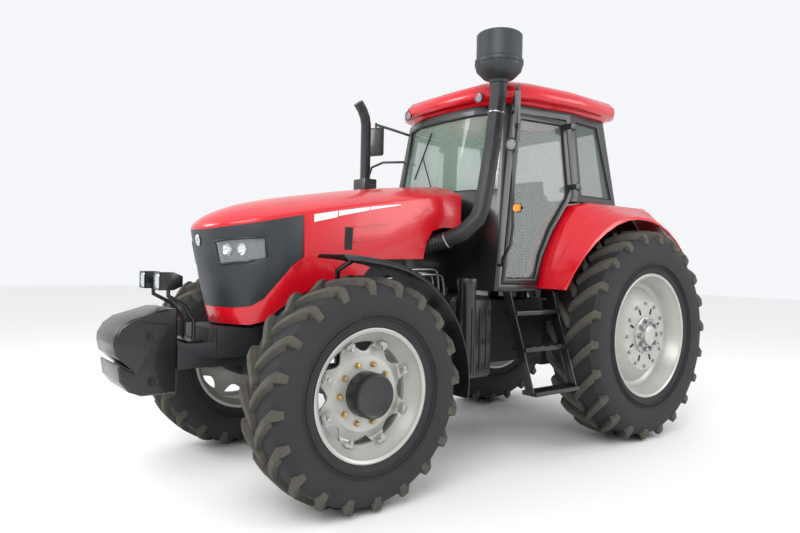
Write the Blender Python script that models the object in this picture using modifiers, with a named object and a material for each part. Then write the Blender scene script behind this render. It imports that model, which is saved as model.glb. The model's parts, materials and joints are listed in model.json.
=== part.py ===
"""Four-wheel-drive farm tractor with a cab, front weights and a three-point hitch.

Metres, +Z up, +X to the tractor's own left, -Y ahead. The origin lies on the ground under the middle
of the whole machine. Distances along the machine are measured ahead of the rear axle.
"""

import math

import bmesh
import bpy
from mathutils import Matrix, Vector

# ---------------------------------------------------------------- driving dimensions
WHEELBASE = 2.80
HITCH_BEHIND = 1.055
WEIGHT_FRONT_AHEAD = 3.985

FRONT_TRACK = 1.71
FRONT_TYRE_RADIUS = 0.680
FRONT_TYRE_WIDTH = 0.380
FRONT_RIM_RADIUS = 0.381
FRONT_RIM_HALF_WIDTH = 0.165

REAR_TRACK = 1.71
REAR_TYRE_RADIUS = 0.872
REAR_TYRE_WIDTH = 0.465
REAR_RIM_RADIUS = 0.508
REAR_RIM_HALF_WIDTH = 0.200
BEAD_DEPTH = 0.025

SEAT_GAP = 0.0003
RUN_GAP = 0.0006
CLEARANCE = 0.006

REAR_AXLE_Y = (WEIGHT_FRONT_AHEAD - HITCH_BEHIND) / 2
FRONT_AXLE_Z = FRONT_TYRE_RADIUS
REAR_AXLE_Z = REAR_TYRE_RADIUS
FRONT_WHEEL_X = FRONT_TRACK / 2
REAR_WHEEL_X = REAR_TRACK / 2
SIDES = {"left": 1, "right": -1}


def ahead(distance):
    """Y of a point that lies this far ahead of the rear axle."""
    return REAR_AXLE_Y - distance


# ---------------------------------------------------------------- scene, materials, helpers
for old in list(bpy.data.objects):
    bpy.data.objects.remove(old, do_unlink=True)

TRACTOR = bpy.data.collections.new("farm_tractor")
CUTTERS = bpy.data.collections.new("cutters")
for made in (TRACTOR, CUTTERS):
    bpy.context.scene.collection.children.link(made)


def material(name, colour, roughness, metallic=0.0):
    made = bpy.data.materials.new(name)
    made.use_nodes = True
    shader = made.node_tree.nodes["Principled BSDF"]
    shader.inputs["Base Color"].default_value = (*colour, 1.0)
    shader.inputs["Roughness"].default_value = roughness
    shader.inputs["Metallic"].default_value = metallic
    return made


RED = material("red_enamel", (0.72, 0.02, 0.035), 0.3)
BLACK = material("black_enamel", (0.012, 0.013, 0.015), 0.4)
CHARCOAL = material("charcoal_plastic", (0.025, 0.032, 0.04), 0.5)
SILVER = material("silver_enamel", (0.55, 0.56, 0.54), 0.35, 0.4)
RUBBER = material("tyre_rubber", (0.02, 0.02, 0.019), 0.85)
GLASS = material("tinted_glass", (0.45, 0.55, 0.5), 0.05)
IRON = material("painted_casting", (0.02, 0.024, 0.028), 0.55)
LAMP = material("lamp_lens", (0.8, 0.82, 0.85), 0.1)
FABRIC = material("seat_fabric", (0.03, 0.03, 0.035), 0.9)


def linked(name, mesh, collection=CUTTERS):
    made = bpy.data.objects.new(name, mesh)
    collection.objects.link(made)
    return made


def helper(obj):
    """Marks an object as a cutter or a guide."""
    obj.hide_render = True
    obj.display_type = "WIRE"
    return obj


def piece(obj, name, finish, carrier=None):
    """Makes an object one named sub-part, carried by an empty on its joint when it moves."""
    for holder in list(obj.users_collection):
        holder.objects.unlink(obj)
    TRACTOR.objects.link(obj)
    obj.name = name
    obj.data.name = name
    obj.hide_render = False
    obj.display_type = "TEXTURED"
    obj.data.materials.clear()
    obj.data.materials.append(finish)
    if obj.type == "MESH":
        obj.data.shade_smooth()
        obj.data.set_sharp_from_angle(angle=math.radians(35))
    if carrier is not None:
        obj.parent = carrier
        obj.matrix_parent_inverse = carrier.matrix_world.inverted()
    return obj


def joint_empty(name, place, direction=(0, 0, 1), parent=None):
    """An empty on a joint's axis, its Z along the axis."""
    made = bpy.data.objects.new(name, None)
    TRACTOR.objects.link(made)
    turn = Vector((0, 0, 1)).rotation_difference(Vector(direction)).to_matrix().to_4x4()
    made.matrix_world = Matrix.Translation(place) @ turn
    if parent is not None:
        made.parent = parent
        made.matrix_parent_inverse = parent.matrix_world.inverted()
    bpy.context.view_layer.update()
    return made


def mesh_from(bm, name):
    """A mesh with its closed faces pointing out."""
    bmesh.ops.remove_doubles(bm, verts=bm.verts, dist=1e-6)
    bmesh.ops.recalc_face_normals(bm, faces=bm.faces)
    mesh = bpy.data.meshes.new(name)
    bm.to_mesh(mesh)
    bm.free()
    return mesh


def box(low, high, name="block"):
    bm = bmesh.new()
    size = [b - a for a, b in zip(low, high)]
    middle = [(a + b) / 2 for a, b in zip(low, high)]
    bmesh.ops.create_cube(bm, size=1, matrix=Matrix.Translation(middle) @ Matrix.Diagonal((*size, 1)))
    return helper(linked(name, mesh_from(bm, name)))


def rod(start, end, radius, sides=16, end_radius=None, name="rod"):
    """A round bar, or a cone frustum, from one point to another."""
    start, end = Vector(start), Vector(end)
    along = end - start
    bm = bmesh.new()
    turn = Vector((0, 0, 1)).rotation_difference(along).to_matrix().to_4x4()
    bmesh.ops.create_cone(
        bm,
        cap_ends=True,
        segments=sides,
        radius1=radius,
        radius2=radius if end_radius is None else end_radius,
        depth=along.length,
        matrix=Matrix.Translation((start + end) / 2) @ turn,
    )
    return helper(linked(name, mesh_from(bm, name)))


def evaluated_mesh(obj, name):
    """A plain object with the evaluated mesh of a curve or of modifiers, its caps welded."""
    bpy.context.view_layer.update()
    graph = bpy.context.evaluated_depsgraph_get()
    mesh = bpy.data.meshes.new_from_object(obj.evaluated_get(graph))
    mesh.transform(obj.matrix_world)
    bm = bmesh.new()
    bm.from_mesh(mesh)
    bmesh.ops.remove_doubles(bm, verts=bm.verts, dist=1e-5)
    made = helper(linked(name, mesh_from(bm, name)))
    bpy.data.meshes.remove(mesh)
    bpy.data.objects.remove(obj, do_unlink=True)
    return made


def tube(points, radius, resolution=2, name="tube"):
    """A bent tube along a poly line, as a closed mesh."""
    curve = bpy.data.curves.new(name, "CURVE")
    curve.dimensions = "3D"
    curve.bevel_depth = radius
    curve.bevel_resolution = resolution
    curve.use_fill_caps = True
    spline = curve.splines.new("POLY")
    spline.points.add(len(points) - 1)
    for point, place in zip(spline.points, points):
        point.co = (*place, 1)
    return evaluated_mesh(helper(linked(name, curve)), name)


PLANES = {
    "X": Matrix(((0, 0, 1, 0), (1, 0, 0, 0), (0, 1, 0, 0), (0, 0, 0, 1))),
    "Y": Matrix(((1, 0, 0, 0), (0, 0, -1, 0), (0, 1, 0, 0), (0, 0, 0, 1))),
    "Z": Matrix.Identity(4),
}


def prism(outline, axis, low, high, name="prism"):
    """A flat outline extruded along an axis. It lies in YZ for X, in XZ for Y and in XY for Z."""
    curve = bpy.data.curves.new(name, "CURVE")
    curve.dimensions = "2D"
    curve.fill_mode = "BOTH"
    curve.extrude = (high - low) / 2
    spline = curve.splines.new("POLY")
    spline.points.add(len(outline) - 1)
    for point, (across, up) in zip(spline.points, outline):
        point.co = (across, up, 0, 1)
    spline.use_cyclic_u = True
    made = helper(linked(name, curve))
    middle = (low + high) / 2 * (-1 if axis == "Y" else 1)
    made.matrix_world = PLANES[axis] @ Matrix.Translation((0, 0, middle))
    return evaluated_mesh(made, name)


def turned(profile, steps=36, name="turned"):
    """A profile of (radius, height) points, from its top down its outer side, turned about Z."""
    mesh = bpy.data.meshes.new(name)
    closed = profile[0][0] > 0
    count = len(profile)
    edges = [(i, i + 1) for i in range(count - 1)] + ([(count - 1, 0)] if closed else [])
    mesh.from_pydata([(radius, 0, height) for radius, height in profile], edges, [])
    made = helper(linked(name, mesh))
    screw = made.modifiers.new("turn", "SCREW")
    screw.axis = "Z"
    screw.angle = 2 * math.pi
    screw.steps = steps
    screw.render_steps = steps
    screw.use_merge_vertices = True
    screw.merge_threshold = 1e-5
    return made


def wheel_place(side, x, y, z):
    """Puts a turned piece's top, its outer face, towards its own side of the machine."""
    return Matrix.Translation((side * x, y, z)) @ Matrix.Rotation(side * math.pi / 2, 4, "Y")


def loft(rings, name="loft"):
    """A closed solid through rings of points, which all have the same count."""
    bm = bmesh.new()
    made = [[bm.verts.new(point) for point in ring] for ring in rings]
    count = len(rings[0])
    for lower, upper in zip(made, made[1:]):
        for i in range(count):
            j = (i + 1) % count
            # The diagonal turns over half way round, so a ring that is symmetric gives a symmetric solid.
            if i < count / 2:
                bm.faces.new((lower[i], lower[j], upper[j]))
                bm.faces.new((lower[i], upper[j], upper[i]))
            else:
                bm.faces.new((lower[i], lower[j], upper[i]))
                bm.faces.new((lower[j], upper[j], upper[i]))
    bm.faces.new(made[0][::-1])
    bm.faces.new(made[-1])
    return helper(linked(name, mesh_from(bm, name)))


def sheet(rows, thickness, name="sheet", flip=False):
    """An open surface through rows of points, given its thickness on the inner side."""
    bm = bmesh.new()
    made = [[bm.verts.new(point) for point in row] for row in rows]
    for first, second in zip(made, made[1:]):
        for i in range(len(first) - 1):
            corners = (first[i], first[i + 1], second[i + 1], second[i])
            bm.faces.new(corners[::-1] if flip else corners)
    bmesh.ops.remove_doubles(bm, verts=bm.verts, dist=1e-6)
    mesh = bpy.data.meshes.new(name)
    bm.to_mesh(mesh)
    bm.free()
    obj = linked(name, mesh)
    wall = obj.modifiers.new("wall", "SOLIDIFY")
    wall.thickness = thickness
    wall.offset = -1
    return evaluated_mesh(obj, name)


def combine(target, others, operation):
    for number, other in enumerate(others):
        step = target.modifiers.new(f"{operation.lower()}_{number}", "BOOLEAN")
        step.operation = operation
        step.solver = "MANIFOLD"
        step.object = helper(other)
    return evaluated_mesh(target, target.name)


def united(*solids):
    return combine(solids[0], solids[1:], "UNION")


def cut(target, *cutters):
    return combine(target, cutters, "DIFFERENCE")


def common(target, other):
    return combine(target, [other], "INTERSECT")


def bevelled(obj, width, segments=1):
    edge = obj.modifiers.new("edge", "BEVEL")
    edge.width = width
    edge.segments = segments
    edge.limit_method = "ANGLE"
    edge.angle_limit = math.radians(50)
    return evaluated_mesh(obj, obj.name)


def inset(outline, amount):
    """The outline moved inwards by an amount, corner by corner."""
    points = [Vector(point) for point in outline]
    count = len(points)
    area = sum(points[i - 1].x * points[i].y - points[i].x * points[i - 1].y for i in range(count))
    turn = 1 if area > 0 else -1
    moved = []
    for i in range(count):
        before = (points[i] - points[i - 1]).normalized()
        after = (points[(i + 1) % count] - points[i]).normalized()
        first = Vector((-before.y, before.x)) * turn
        second = Vector((-after.y, after.x)) * turn
        corner = (first + second) / (1 + first.dot(second))
        moved.append(tuple(points[i] + corner * amount))
    return moved


def arc(centre, radius, start, end, count):
    """Points along an arc, its angles in degrees, from the first axis towards the second."""
    turns = [math.radians(start + (end - start) * i / (count - 1)) for i in range(count)]
    return [(centre[0] + radius * math.cos(t), centre[1] + radius * math.sin(t)) for t in turns]


# ---------------------------------------------------------------- joints
KINGPIN_X = 0.62
HOOD_HINGE = (0.0, ahead(1.615), 1.955)
LINK_PIVOT = (0.0, ahead(-0.14), 0.52)
ROCKSHAFT = (0.0, ahead(-0.22), 1.22)
LIFT_ROD_AHEAD = -0.62
LIFT_ARM_END_Z = 1.14
WHEEL_CENTRE = {
    "front": (FRONT_WHEEL_X, ahead(WHEELBASE), FRONT_AXLE_Z),
    "rear": (REAR_WHEEL_X, ahead(0), REAR_AXLE_Z),
}

# The door post's line, outside the cab: its foot, its head, and how far outboard the hinge pins stand.
POST_FOOT = Vector((0.840, ahead(0.60), 1.24))
POST_HEAD = Vector((0.7117, ahead(0.66), 2.665))
HINGE_OUT = 0.05
HINGE_BACK = 0.06


def post_at(z):
    return POST_FOOT.lerp(POST_HEAD, (z - POST_FOOT.z) / (POST_HEAD.z - POST_FOOT.z))


def hinge_at(z, side):
    point = post_at(z)
    return Vector((side * (point.x + HINGE_OUT), point.y - HINGE_BACK, z))


def post_direction(side):
    line = POST_HEAD - POST_FOOT
    return Vector((side * line.x, line.y, line.z)).normalized()


# ---------------------------------------------------------------- wheels and axles
REAR_DISC = 0.045
REAR_DRUM_RADIUS = 0.295
REAR_DRUM_FACE = 0.140
RIM_WALL = 0.012
FRONT_DISC = 0.065
FRONT_HUB_RADIUS = 0.120
FRONT_HUB_FACE = 0.195
WHEEL_STEPS = 24


def tyre(name, side, kind, carrier):
    radius, width, rim, half = {
        "front": (FRONT_TYRE_RADIUS, FRONT_TYRE_WIDTH, FRONT_RIM_RADIUS, FRONT_RIM_HALF_WIDTH),
        "rear": (REAR_TYRE_RADIUS, REAR_TYRE_WIDTH, REAR_RIM_RADIUS, REAR_RIM_HALF_WIDTH),
    }[kind]
    bead = rim - BEAD_DEPTH
    wall = radius - bead
    outer = half - 0.010
    upper = [
        (bead, outer),
        (rim + 0.004, outer),
        (bead + 0.22 * wall, width / 2 - 0.004),
        (bead + 0.50 * wall, width / 2),
        (bead + 0.74 * wall, width / 2 - 0.006),
        (bead + 0.90 * wall, width / 2 - 0.030),
        (radius, width / 2 - 0.075),
    ]
    lower = [(r, -z) for r, z in reversed(upper)]
    solid = turned(upper + lower, WHEEL_STEPS, name)
    solid.matrix_world = wheel_place(side, *WHEEL_CENTRE[kind])
    return piece(evaluated_mesh(solid, name), name, RUBBER, carrier)


def rim(name, side, kind, carrier):
    if kind == "front":
        flange, half, disc = FRONT_RIM_RADIUS, FRONT_RIM_HALF_WIDTH, FRONT_DISC
        bead = flange - BEAD_DEPTH - SEAT_GAP
        hole = FRONT_HUB_RADIUS + SEAT_GAP
        profile = [
            (bead - RIM_WALL, half),
            (flange, half),
            (flange, half - 0.0095),
            (bead, half - 0.0095),
            (bead, 0.0095 - half),
            (flange, 0.0095 - half),
            (flange, -half),
            (bead - RIM_WALL, -half),
            (bead - RIM_WALL, -0.02),
            (0.22, disc),
            (hole, disc),
            (hole, disc + RIM_WALL),
            (0.23, disc + RIM_WALL),
            (bead - RIM_WALL, 0.0),
        ]
    else:
        flange, half, disc = REAR_RIM_RADIUS, REAR_RIM_HALF_WIDTH, REAR_DISC
        bead = flange - BEAD_DEPTH - SEAT_GAP
        drum, face = REAR_DRUM_RADIUS, REAR_DRUM_FACE
        profile = [
            (0, face),
            (drum, face),
            (drum, disc),
            (bead - RIM_WALL, disc - 0.03),
            (bead - RIM_WALL, half),
            (flange, half),
            (flange, half - 0.0095),
            (bead, half - 0.0095),
            (bead, 0.0095 - half),
            (flange, 0.0095 - half),
            (flange, -half),
            (bead - RIM_WALL, -half),
            (bead - RIM_WALL, disc - 0.05),
            (drum - 0.02, disc - 0.015),
            (drum - 0.02, face - 0.02),
            (0, face - 0.02),
        ]
    solid = turned(profile, WHEEL_STEPS, name)
    solid.matrix_world = wheel_place(side, *WHEEL_CENTRE[kind])
    return piece(evaluated_mesh(solid, name), name, SILVER, carrier)


def front_hub(name, side, carrier):
    radius, disc = FRONT_HUB_RADIUS, FRONT_DISC
    profile = [
        (0, FRONT_HUB_FACE),
        (0.85 * radius, FRONT_HUB_FACE),
        (0.95 * radius, FRONT_HUB_FACE - 0.015),
        (radius, disc + 0.03),
        (radius, disc - SEAT_GAP),
        (0.20, disc - SEAT_GAP),
        (0.20, disc - 0.025),
        (0.14, disc - 0.03),
        (0.14, -0.02),
        (0, -0.02),
    ]
    solid = turned(profile, WHEEL_STEPS, name)
    solid.matrix_world = wheel_place(side, *WHEEL_CENTRE["front"])
    return piece(evaluated_mesh(solid, name), name, BLACK, carrier)


FRONT_BEAM_TOP = 0.7797
BOSS_RADIUS = 0.055
BOSS_LOW, BOSS_HIGH = 0.600, 0.760
STEER_ARM_BACK = 0.24
TIE_ROD_RADIUS = 0.016


def front_axle_beam():
    y, z = ahead(WHEELBASE), FRONT_AXLE_Z
    parts = [box((-0.60, y - 0.05, 0.615), (0.60, y + 0.05, 0.745))]
    parts.append(rod((0, y - 0.14, z - 0.02), (0, y + 0.12, z - 0.02), 0.115, 20))
    parts.append(box((-0.13, y - 0.10, z), (0.13, y + 0.10, FRONT_BEAM_TOP)))
    parts.append(rod((0, y + 0.10, z - 0.02), (0, ahead(1.9503), z - 0.02), 0.04, 12))
    for side in SIDES.values():
        parts.append(rod((side * KINGPIN_X, y, BOSS_LOW), (side * KINGPIN_X, y, BOSS_HIGH), BOSS_RADIUS, 20))
    return piece(united(*parts), "front_axle_beam", IRON)


def knuckle(side, carrier, name):
    """A fork around the beam's boss, the wheel's spindle outboard and the steering arm behind."""
    x, y, z = KINGPIN_X, ahead(WHEELBASE), FRONT_AXLE_Z
    web = x + BOSS_RADIUS + 0.012
    low, high = BOSS_LOW - RUN_GAP, BOSS_HIGH + RUN_GAP
    parts = [box((side * x, y - 0.05, low - 0.035), (side * (web + 0.03), y + 0.05, high + 0.035))]
    if side < 0:
        parts = [box((side * (web + 0.03), y - 0.05, low - 0.035), (side * x, y + 0.05, high + 0.035))]
    parts.append(rod((side * x, y, low - 0.035), (side * x, y, low), 0.06, 20))
    parts.append(rod((side * x, y, high), (side * x, y, high + 0.035), 0.06, 20))
    parts.append(rod((side * web, y, z), (side * (FRONT_WHEEL_X - 0.0206), y, z), 0.135, 24))
    arm = [(side * (x - 0.02), y + STEER_ARM_BACK + 0.03), (side * (x + 0.05), y + STEER_ARM_BACK),
           (side * (x + 0.05), y), (side * (x - 0.03), y), (side * (x - 0.06), y + STEER_ARM_BACK)]
    parts.append(prism(arm, "Z", low - 0.03, low - 0.006))
    throat = box((min(side * 0.4, side * web), y - 0.2, low), (max(side * 0.4, side * web), y + 0.2, high))
    return piece(cut(united(*parts), throat), name, IRON, carrier)


def tie_rod(carrier):
    y = ahead(WHEELBASE) + STEER_ARM_BACK
    z = BOSS_LOW - RUN_GAP - 0.03 - RUN_GAP - TIE_ROD_RADIUS
    bar = rod((-KINGPIN_X + 0.02, y, z), (KINGPIN_X - 0.02, y, z), TIE_ROD_RADIUS, 12)
    return piece(bar, "tie_rod", IRON, carrier)


MUDGUARD_RADIUS = 0.775
MUDGUARD_WALL = 0.006


def mudguard(side, carrier, name):
    """A narrow arched shell over the steered wheel, on a bracket from the knuckle."""
    y, z = ahead(WHEELBASE), FRONT_AXLE_Z
    inner, outer = 0.70, 1.03
    rows = []
    for turn in range(-8, 108, 8):
        angle = math.radians(turn)
        radius = MUDGUARD_RADIUS + 0.05 * max(0, (turn - 80) / 24) ** 2
        row = []
        for x, drop in ((inner, 0.018), (inner + 0.035, 0.0), (outer - 0.035, 0.0), (outer, 0.030)):
            reach = radius - drop
            row.append((side * x, y + reach * math.cos(angle), z + reach * math.sin(angle)))
        rows.append(row)
    shell = sheet(rows, MUDGUARD_WALL, name, flip=side > 0)
    top = z + MUDGUARD_RADIUS - 0.012
    arm = tube(
        [
            (side * (KINGPIN_X + 0.01), y, BOSS_HIGH + RUN_GAP + 0.0353),
            (side * (KINGPIN_X + 0.01), y, 0.86),
            (side * (KINGPIN_X - 0.035), y + 0.02, 1.00),
            (side * (KINGPIN_X - 0.035), y + 0.02, 1.38),
            (side * (inner + 0.05), y + 0.02, top + 0.006),
        ],
        0.018,
    )
    return piece(united(shell, arm), name, BLACK, carrier)


AXLE_TOP = 1.12
SHAFT_RADIUS = 0.055


def rear_axle_housing():
    y, z = ahead(0), REAR_AXLE_Z
    parts = [box((-0.24, ahead(0.3997), 0.55), (0.24, ahead(-0.34), AXLE_TOP))]
    parts.append(rod((-0.56, y, z), (0.56, y, z), 0.13, 20))
    reach = REAR_WHEEL_X + REAR_DRUM_FACE - 0.02 - RUN_GAP
    parts.append(rod((-reach, y, z), (reach, y, z), SHAFT_RADIUS, 16))
    parts.append(rod((0, ahead(-0.30), 0.66), (0, ahead(-0.44), 0.66), 0.022, 12))
    for side in SIDES.values():
        parts.append(box((side * 0.20 - 0.025, ahead(-0.16), 1.10), (side * 0.20 + 0.025, ahead(-0.28), 1.1875)))
        low, high = sorted((side * 0.23, side * 0.32))
        parts.append(box((low, ahead(-0.05), 0.57), (high, ahead(-0.30), 0.66)))
    parts.append(box((-0.16, ahead(-0.05), AXLE_TOP - 0.01), (0.16, ahead(-0.12), 1.2397)))
    return piece(united(*parts), "rear_axle_housing", IRON)


def gearbox_housing():
    parts = [box((-0.24, ahead(1.95), 0.62), (0.24, ahead(0.40), 1.14))]
    for distance in (1.25, 0.60):
        for side in SIDES.values():
            parts.append(rod((side * 0.17, ahead(distance), 1.12), (side * 0.17, ahead(distance), 1.2397), 0.05, 12))
    return piece(united(*parts), "gearbox_housing", IRON)


FRAME_TOP = 0.95
CARRIER_TOP = 0.930


def front_frame():
    """The casting under the engine, with the carrier for the front weights on its nose."""
    side_view = [
        (ahead(3.44), 0.78),
        (ahead(1.9503), 0.78),
        (ahead(1.9503), FRAME_TOP - SEAT_GAP),
        (ahead(3.08), FRAME_TOP - SEAT_GAP),
        (ahead(3.08), 1.02),
        (ahead(3.44), 1.02),
    ]
    body = prism(side_view, "X", -0.20, 0.20)
    carrier = box((-0.205, ahead(3.63), 0.785), (0.205, ahead(3.36), CARRIER_TOP))
    cheek = box((-0.24, ahead(3.40), 0.84), (0.24, ahead(3.14), 1.015))
    return piece(united(body, carrier, cheek), "front_frame", IRON)


def front_weights():
    """A stack of plates hung on the carrier: a rounded nose with a hand slot across it."""
    front, rear = WEIGHT_FRONT_AHEAD, 3.6303
    outline = [
        (ahead(rear), 0.648),
        (ahead(rear), 1.141),
        (ahead(rear + 0.07), 1.141),
        (ahead(front - 0.090), 1.085),
        (ahead(front - 0.035), 1.045),
        (ahead(front - 0.004), 0.990),
        (ahead(front), 0.948),
        (ahead(front - 0.013), 0.885),
        (ahead(front - 0.100), 0.800),
        (ahead(front - 0.105), 0.790),
        (ahead(front - 0.022), 0.842),
        (ahead(front - 0.037), 0.741),
        (ahead(front - 0.085), 0.678),
        (ahead(front - 0.155), 0.648),
    ]
    return piece(bevelled(prism(outline, "X", -0.20, 0.20), 0.010), "front_weights", IRON)


LAMP_AHEAD, LAMP_X, LAMP_Z, LAMP_HALF = 3.73, 0.14, 1.303, 0.0525


def work_lamps():
    """Two square lamps on bent arms, which share one foot on the weight carrier."""
    foot_z = CARRIER_TOP + SEAT_GAP
    parts = [box((-0.16, ahead(3.56), foot_z), (0.16, ahead(3.46), foot_z + 0.014))]
    for side in SIDES.values():
        arm = [
            (side * 0.10, ahead(3.50), foot_z + 0.008),
            (side * 0.10, ahead(3.50), 1.06),
            (side * 0.12, ahead(3.57), 1.16),
            (side * LAMP_X, ahead(LAMP_AHEAD - 0.06), 1.215),
            (side * LAMP_X, ahead(LAMP_AHEAD - 0.06), LAMP_Z - 0.04),
        ]
        parts.append(tube(arm, 0.013))
        corners = [(-1, -1), (1, -1), (1, 1), (-1, 1)]
        rings = []
        for back, scale in ((0.0, 1.0), (0.075, 1.0), (0.135, 0.55)):
            half = LAMP_HALF * scale
            rings.append([(side * LAMP_X + half * a, ahead(LAMP_AHEAD - back), LAMP_Z + half * b) for a, b in corners])
        parts.append(loft(rings))
    return piece(united(*parts), "work_lamps", BLACK)


def engine_block():
    """One plain block, with the plate at its rear that carries the hood's hinge."""
    block = bevelled(box((-0.24, ahead(3.05), FRAME_TOP), (0.24, ahead(1.9503), 1.60)), 0.03)
    plate = box((-0.245, ahead(1.99), 1.40), (0.245, ahead(1.96), 1.86))
    parts = [block, plate]
    x, y, z = HOOD_HINGE
    for side in SIDES.values():
        ear = [(ahead(1.97), 1.70), (ahead(1.97), 1.84), (y + 0.02, z + 0.012), (y + 0.02, z - 0.02)]
        low, high = sorted((side * 0.2206, side * 0.245))
        parts.append(prism(ear, "X", low, high))
    parts.append(box((-0.22, ahead(1.98), 0.9503), (0.22, ahead(1.9503), 1.45)))
    return piece(united(*parts), "engine_block", IRON)


# ---------------------------------------------------------------- tanks, steps, stacks
TANK_OUT = 0.66


def side_box(side, name, canister):
    """A tank or a locker beside the gearbox, under the cab's front."""
    low, high = sorted((side * 0.2403, side * TANK_OUT))
    body = bevelled(box((low, ahead(1.87), 0.61), (high, ahead(1.46), 1.205)), 0.03)
    parts = [body]
    if canister:
        parts.append(rod((side * 0.715, ahead(1.79), 0.66), (side * 0.715, ahead(1.79), 1.30), 0.064, 20))
        parts.append(rod((side * 0.715, ahead(1.79), 1.28), (side * 0.715, ahead(1.79), 1.335), 0.069, 20))
    return piece(united(*parts) if len(parts) > 1 else body, name, BLACK)


STEP_TREADS = ((1.10, 0.775), (0.845, 0.865), (0.545, 0.965))
STEP_FRONT, STEP_REAR = 1.41, 0.93


def steps(side, name):
    parts = []
    for distance in (STEP_FRONT, STEP_REAR):
        outline = [(side * 0.70, 1.2397), (side * 0.775, 1.2397), (side * 1.02, 0.52), (side * 0.945, 0.52)]
        parts.append(prism(outline, "Y", ahead(distance) - 0.006, ahead(distance) + 0.006))
    for height, x in STEP_TREADS:
        low, high = sorted((side * (x - 0.06), side * (x + 0.07)))
        parts.append(box((low, ahead(STEP_FRONT) - 0.003, height - 0.03), (high, ahead(STEP_REAR) + 0.003, height)))
    return piece(united(*parts), name, BLACK)


STACK_X, STACK_AHEAD = -0.545, 1.80


def exhaust_stack():
    x, y = STACK_X, ahead(STACK_AHEAD)
    elbow = tube([(-0.2403, ahead(2.10), 1.36), (-0.36, ahead(2.10), 1.36), (-0.50, ahead(1.93), 1.375),
                  (x, y, 1.43), (x, y, 1.50)], 0.04)
    muffler = rod((x, y, 1.47), (x, y, 2.05), 0.085, 20)
    shield = box((x - 0.085, y - 0.06, 2.02), (x + 0.085, y + 0.06, 2.135))
    tip = [(x, y, 2.10), (x, y, 2.60)] + [(x, y - a, 2.60 + b) for a, b in ((0.012, 0.06), (0.04, 0.12), (0.085, 0.175))]
    return piece(united(muffler, elbow, shield, tube(tip, 0.044, 3)), "exhaust_stack", BLACK)


PIPE_RADIUS = 0.062


def intake_pipe():
    route = [
        (0.2403, ahead(2.06), 1.53),
        (0.30, ahead(2.06), 1.53),
        (0.335, ahead(1.98), 1.54),
        (0.36, ahead(1.86), 1.57),
        (0.48, ahead(1.79), 1.60),
        (0.60, ahead(1.73), 1.66),
        (0.66, ahead(1.65), 1.76),
        (0.665, ahead(1.605), 1.86),
        (0.665, ahead(1.515), 2.32),
        (0.665, ahead(1.465), 2.68),
        (0.665, ahead(1.465), 2.7657),
    ]
    return piece(tube(route, PIPE_RADIUS, 3), "intake_pipe", BLACK)


def pre_cleaner():
    profile = [
        (0, 0.360),
        (0.150, 0.360),
        (0.168, 0.345),
        (0.168, 0.170),
        (0.178, 0.165),
        (0.178, 0.130),
        (0.165, 0.085),
        (0.115, 0.035),
        (0.068, 0.020),
        (0.068, 0.0),
        (0, 0.0),
    ]
    solid = turned(profile, 20)
    solid.matrix_world = Matrix.Translation((0.665, ahead(1.465), 2.766))
    return piece(evaluated_mesh(solid, "pre_cleaner"), "pre_cleaner", CHARCOAL)


# ---------------------------------------------------------------- cab
CAB_FLOOR_Z = 1.24
CAB_TOP_Z = 2.665
BELT_Z = 1.95
CAB_WALL = 0.05
DOOR_THICK = 0.04
CAB_LOW_PLAN = ((0, 1.56), (0.36, 1.55), (0.695, 1.50), (0.840, 0.60), (0.80, -0.05), (0.55, -0.10))
CAB_HIGH_PLAN = ((0, 1.40), (0.33, 1.38), (0.615, 1.26), (0.7117, 0.66), (0.6834, 0.20), (0.50, 0.16))


def cab_ring(z, amount):
    """The cab's plan at a height, moved inwards by an amount."""
    share = (z - CAB_FLOOR_Z) / (CAB_TOP_Z - CAB_FLOOR_Z)
    left = []
    for (x0, a0), (x1, a1) in zip(CAB_LOW_PLAN, CAB_HIGH_PLAN):
        left.append((x0 + (x1 - x0) * share, ahead(a0 + (a1 - a0) * share)))
    whole = left + [(-x, y) for x, y in reversed(left[1:])]
    return [(x, y, z) for x, y in inset(whole, amount)]


def cab_hull(amount, low=CAB_FLOOR_Z, high=CAB_TOP_Z):
    return loft([cab_ring(low, amount), cab_ring(high, amount)], "cab_hull")


def cab_shell(outside, inside):
    """The cab's wall between two depths, open above and below."""
    return cut(cab_hull(outside, CAB_FLOOR_Z - 0.1, CAB_TOP_Z + 0.1),
               cab_hull(inside, CAB_FLOOR_Z - 0.2, CAB_TOP_Z + 0.2))


# Openings, seen from the side as (distance ahead, height) or from the front as (x, height).
DOOR_OPENING = (
    (1.435, 1.290),
    (1.215, 2.600),
    (0.725, 2.600),
    (0.695, 2.000),
    (0.715, 1.955),
    (0.775, 1.880),
    (0.910, 1.700),
    (1.020, 1.500),
    (1.085, 1.290),
)
QUARTER_OPENING = ((0.615, 2.600), (0.300, 2.600), (0.135, 2.000), (0.585, 2.000))
SCREEN_OPENING = ((-0.545, 2.600), (0.545, 2.600), (0.590, 2.000), (-0.590, 2.000))
REAR_OPENING = ((-0.60, 2.590), (0.60, 2.590), (0.64, 2.030), (-0.64, 2.030))
GLASS_DEPTH, GLASS_THICK = 0.016, 0.012


def side_outline(points):
    return [(ahead(a), z) for a, z in points]


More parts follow.
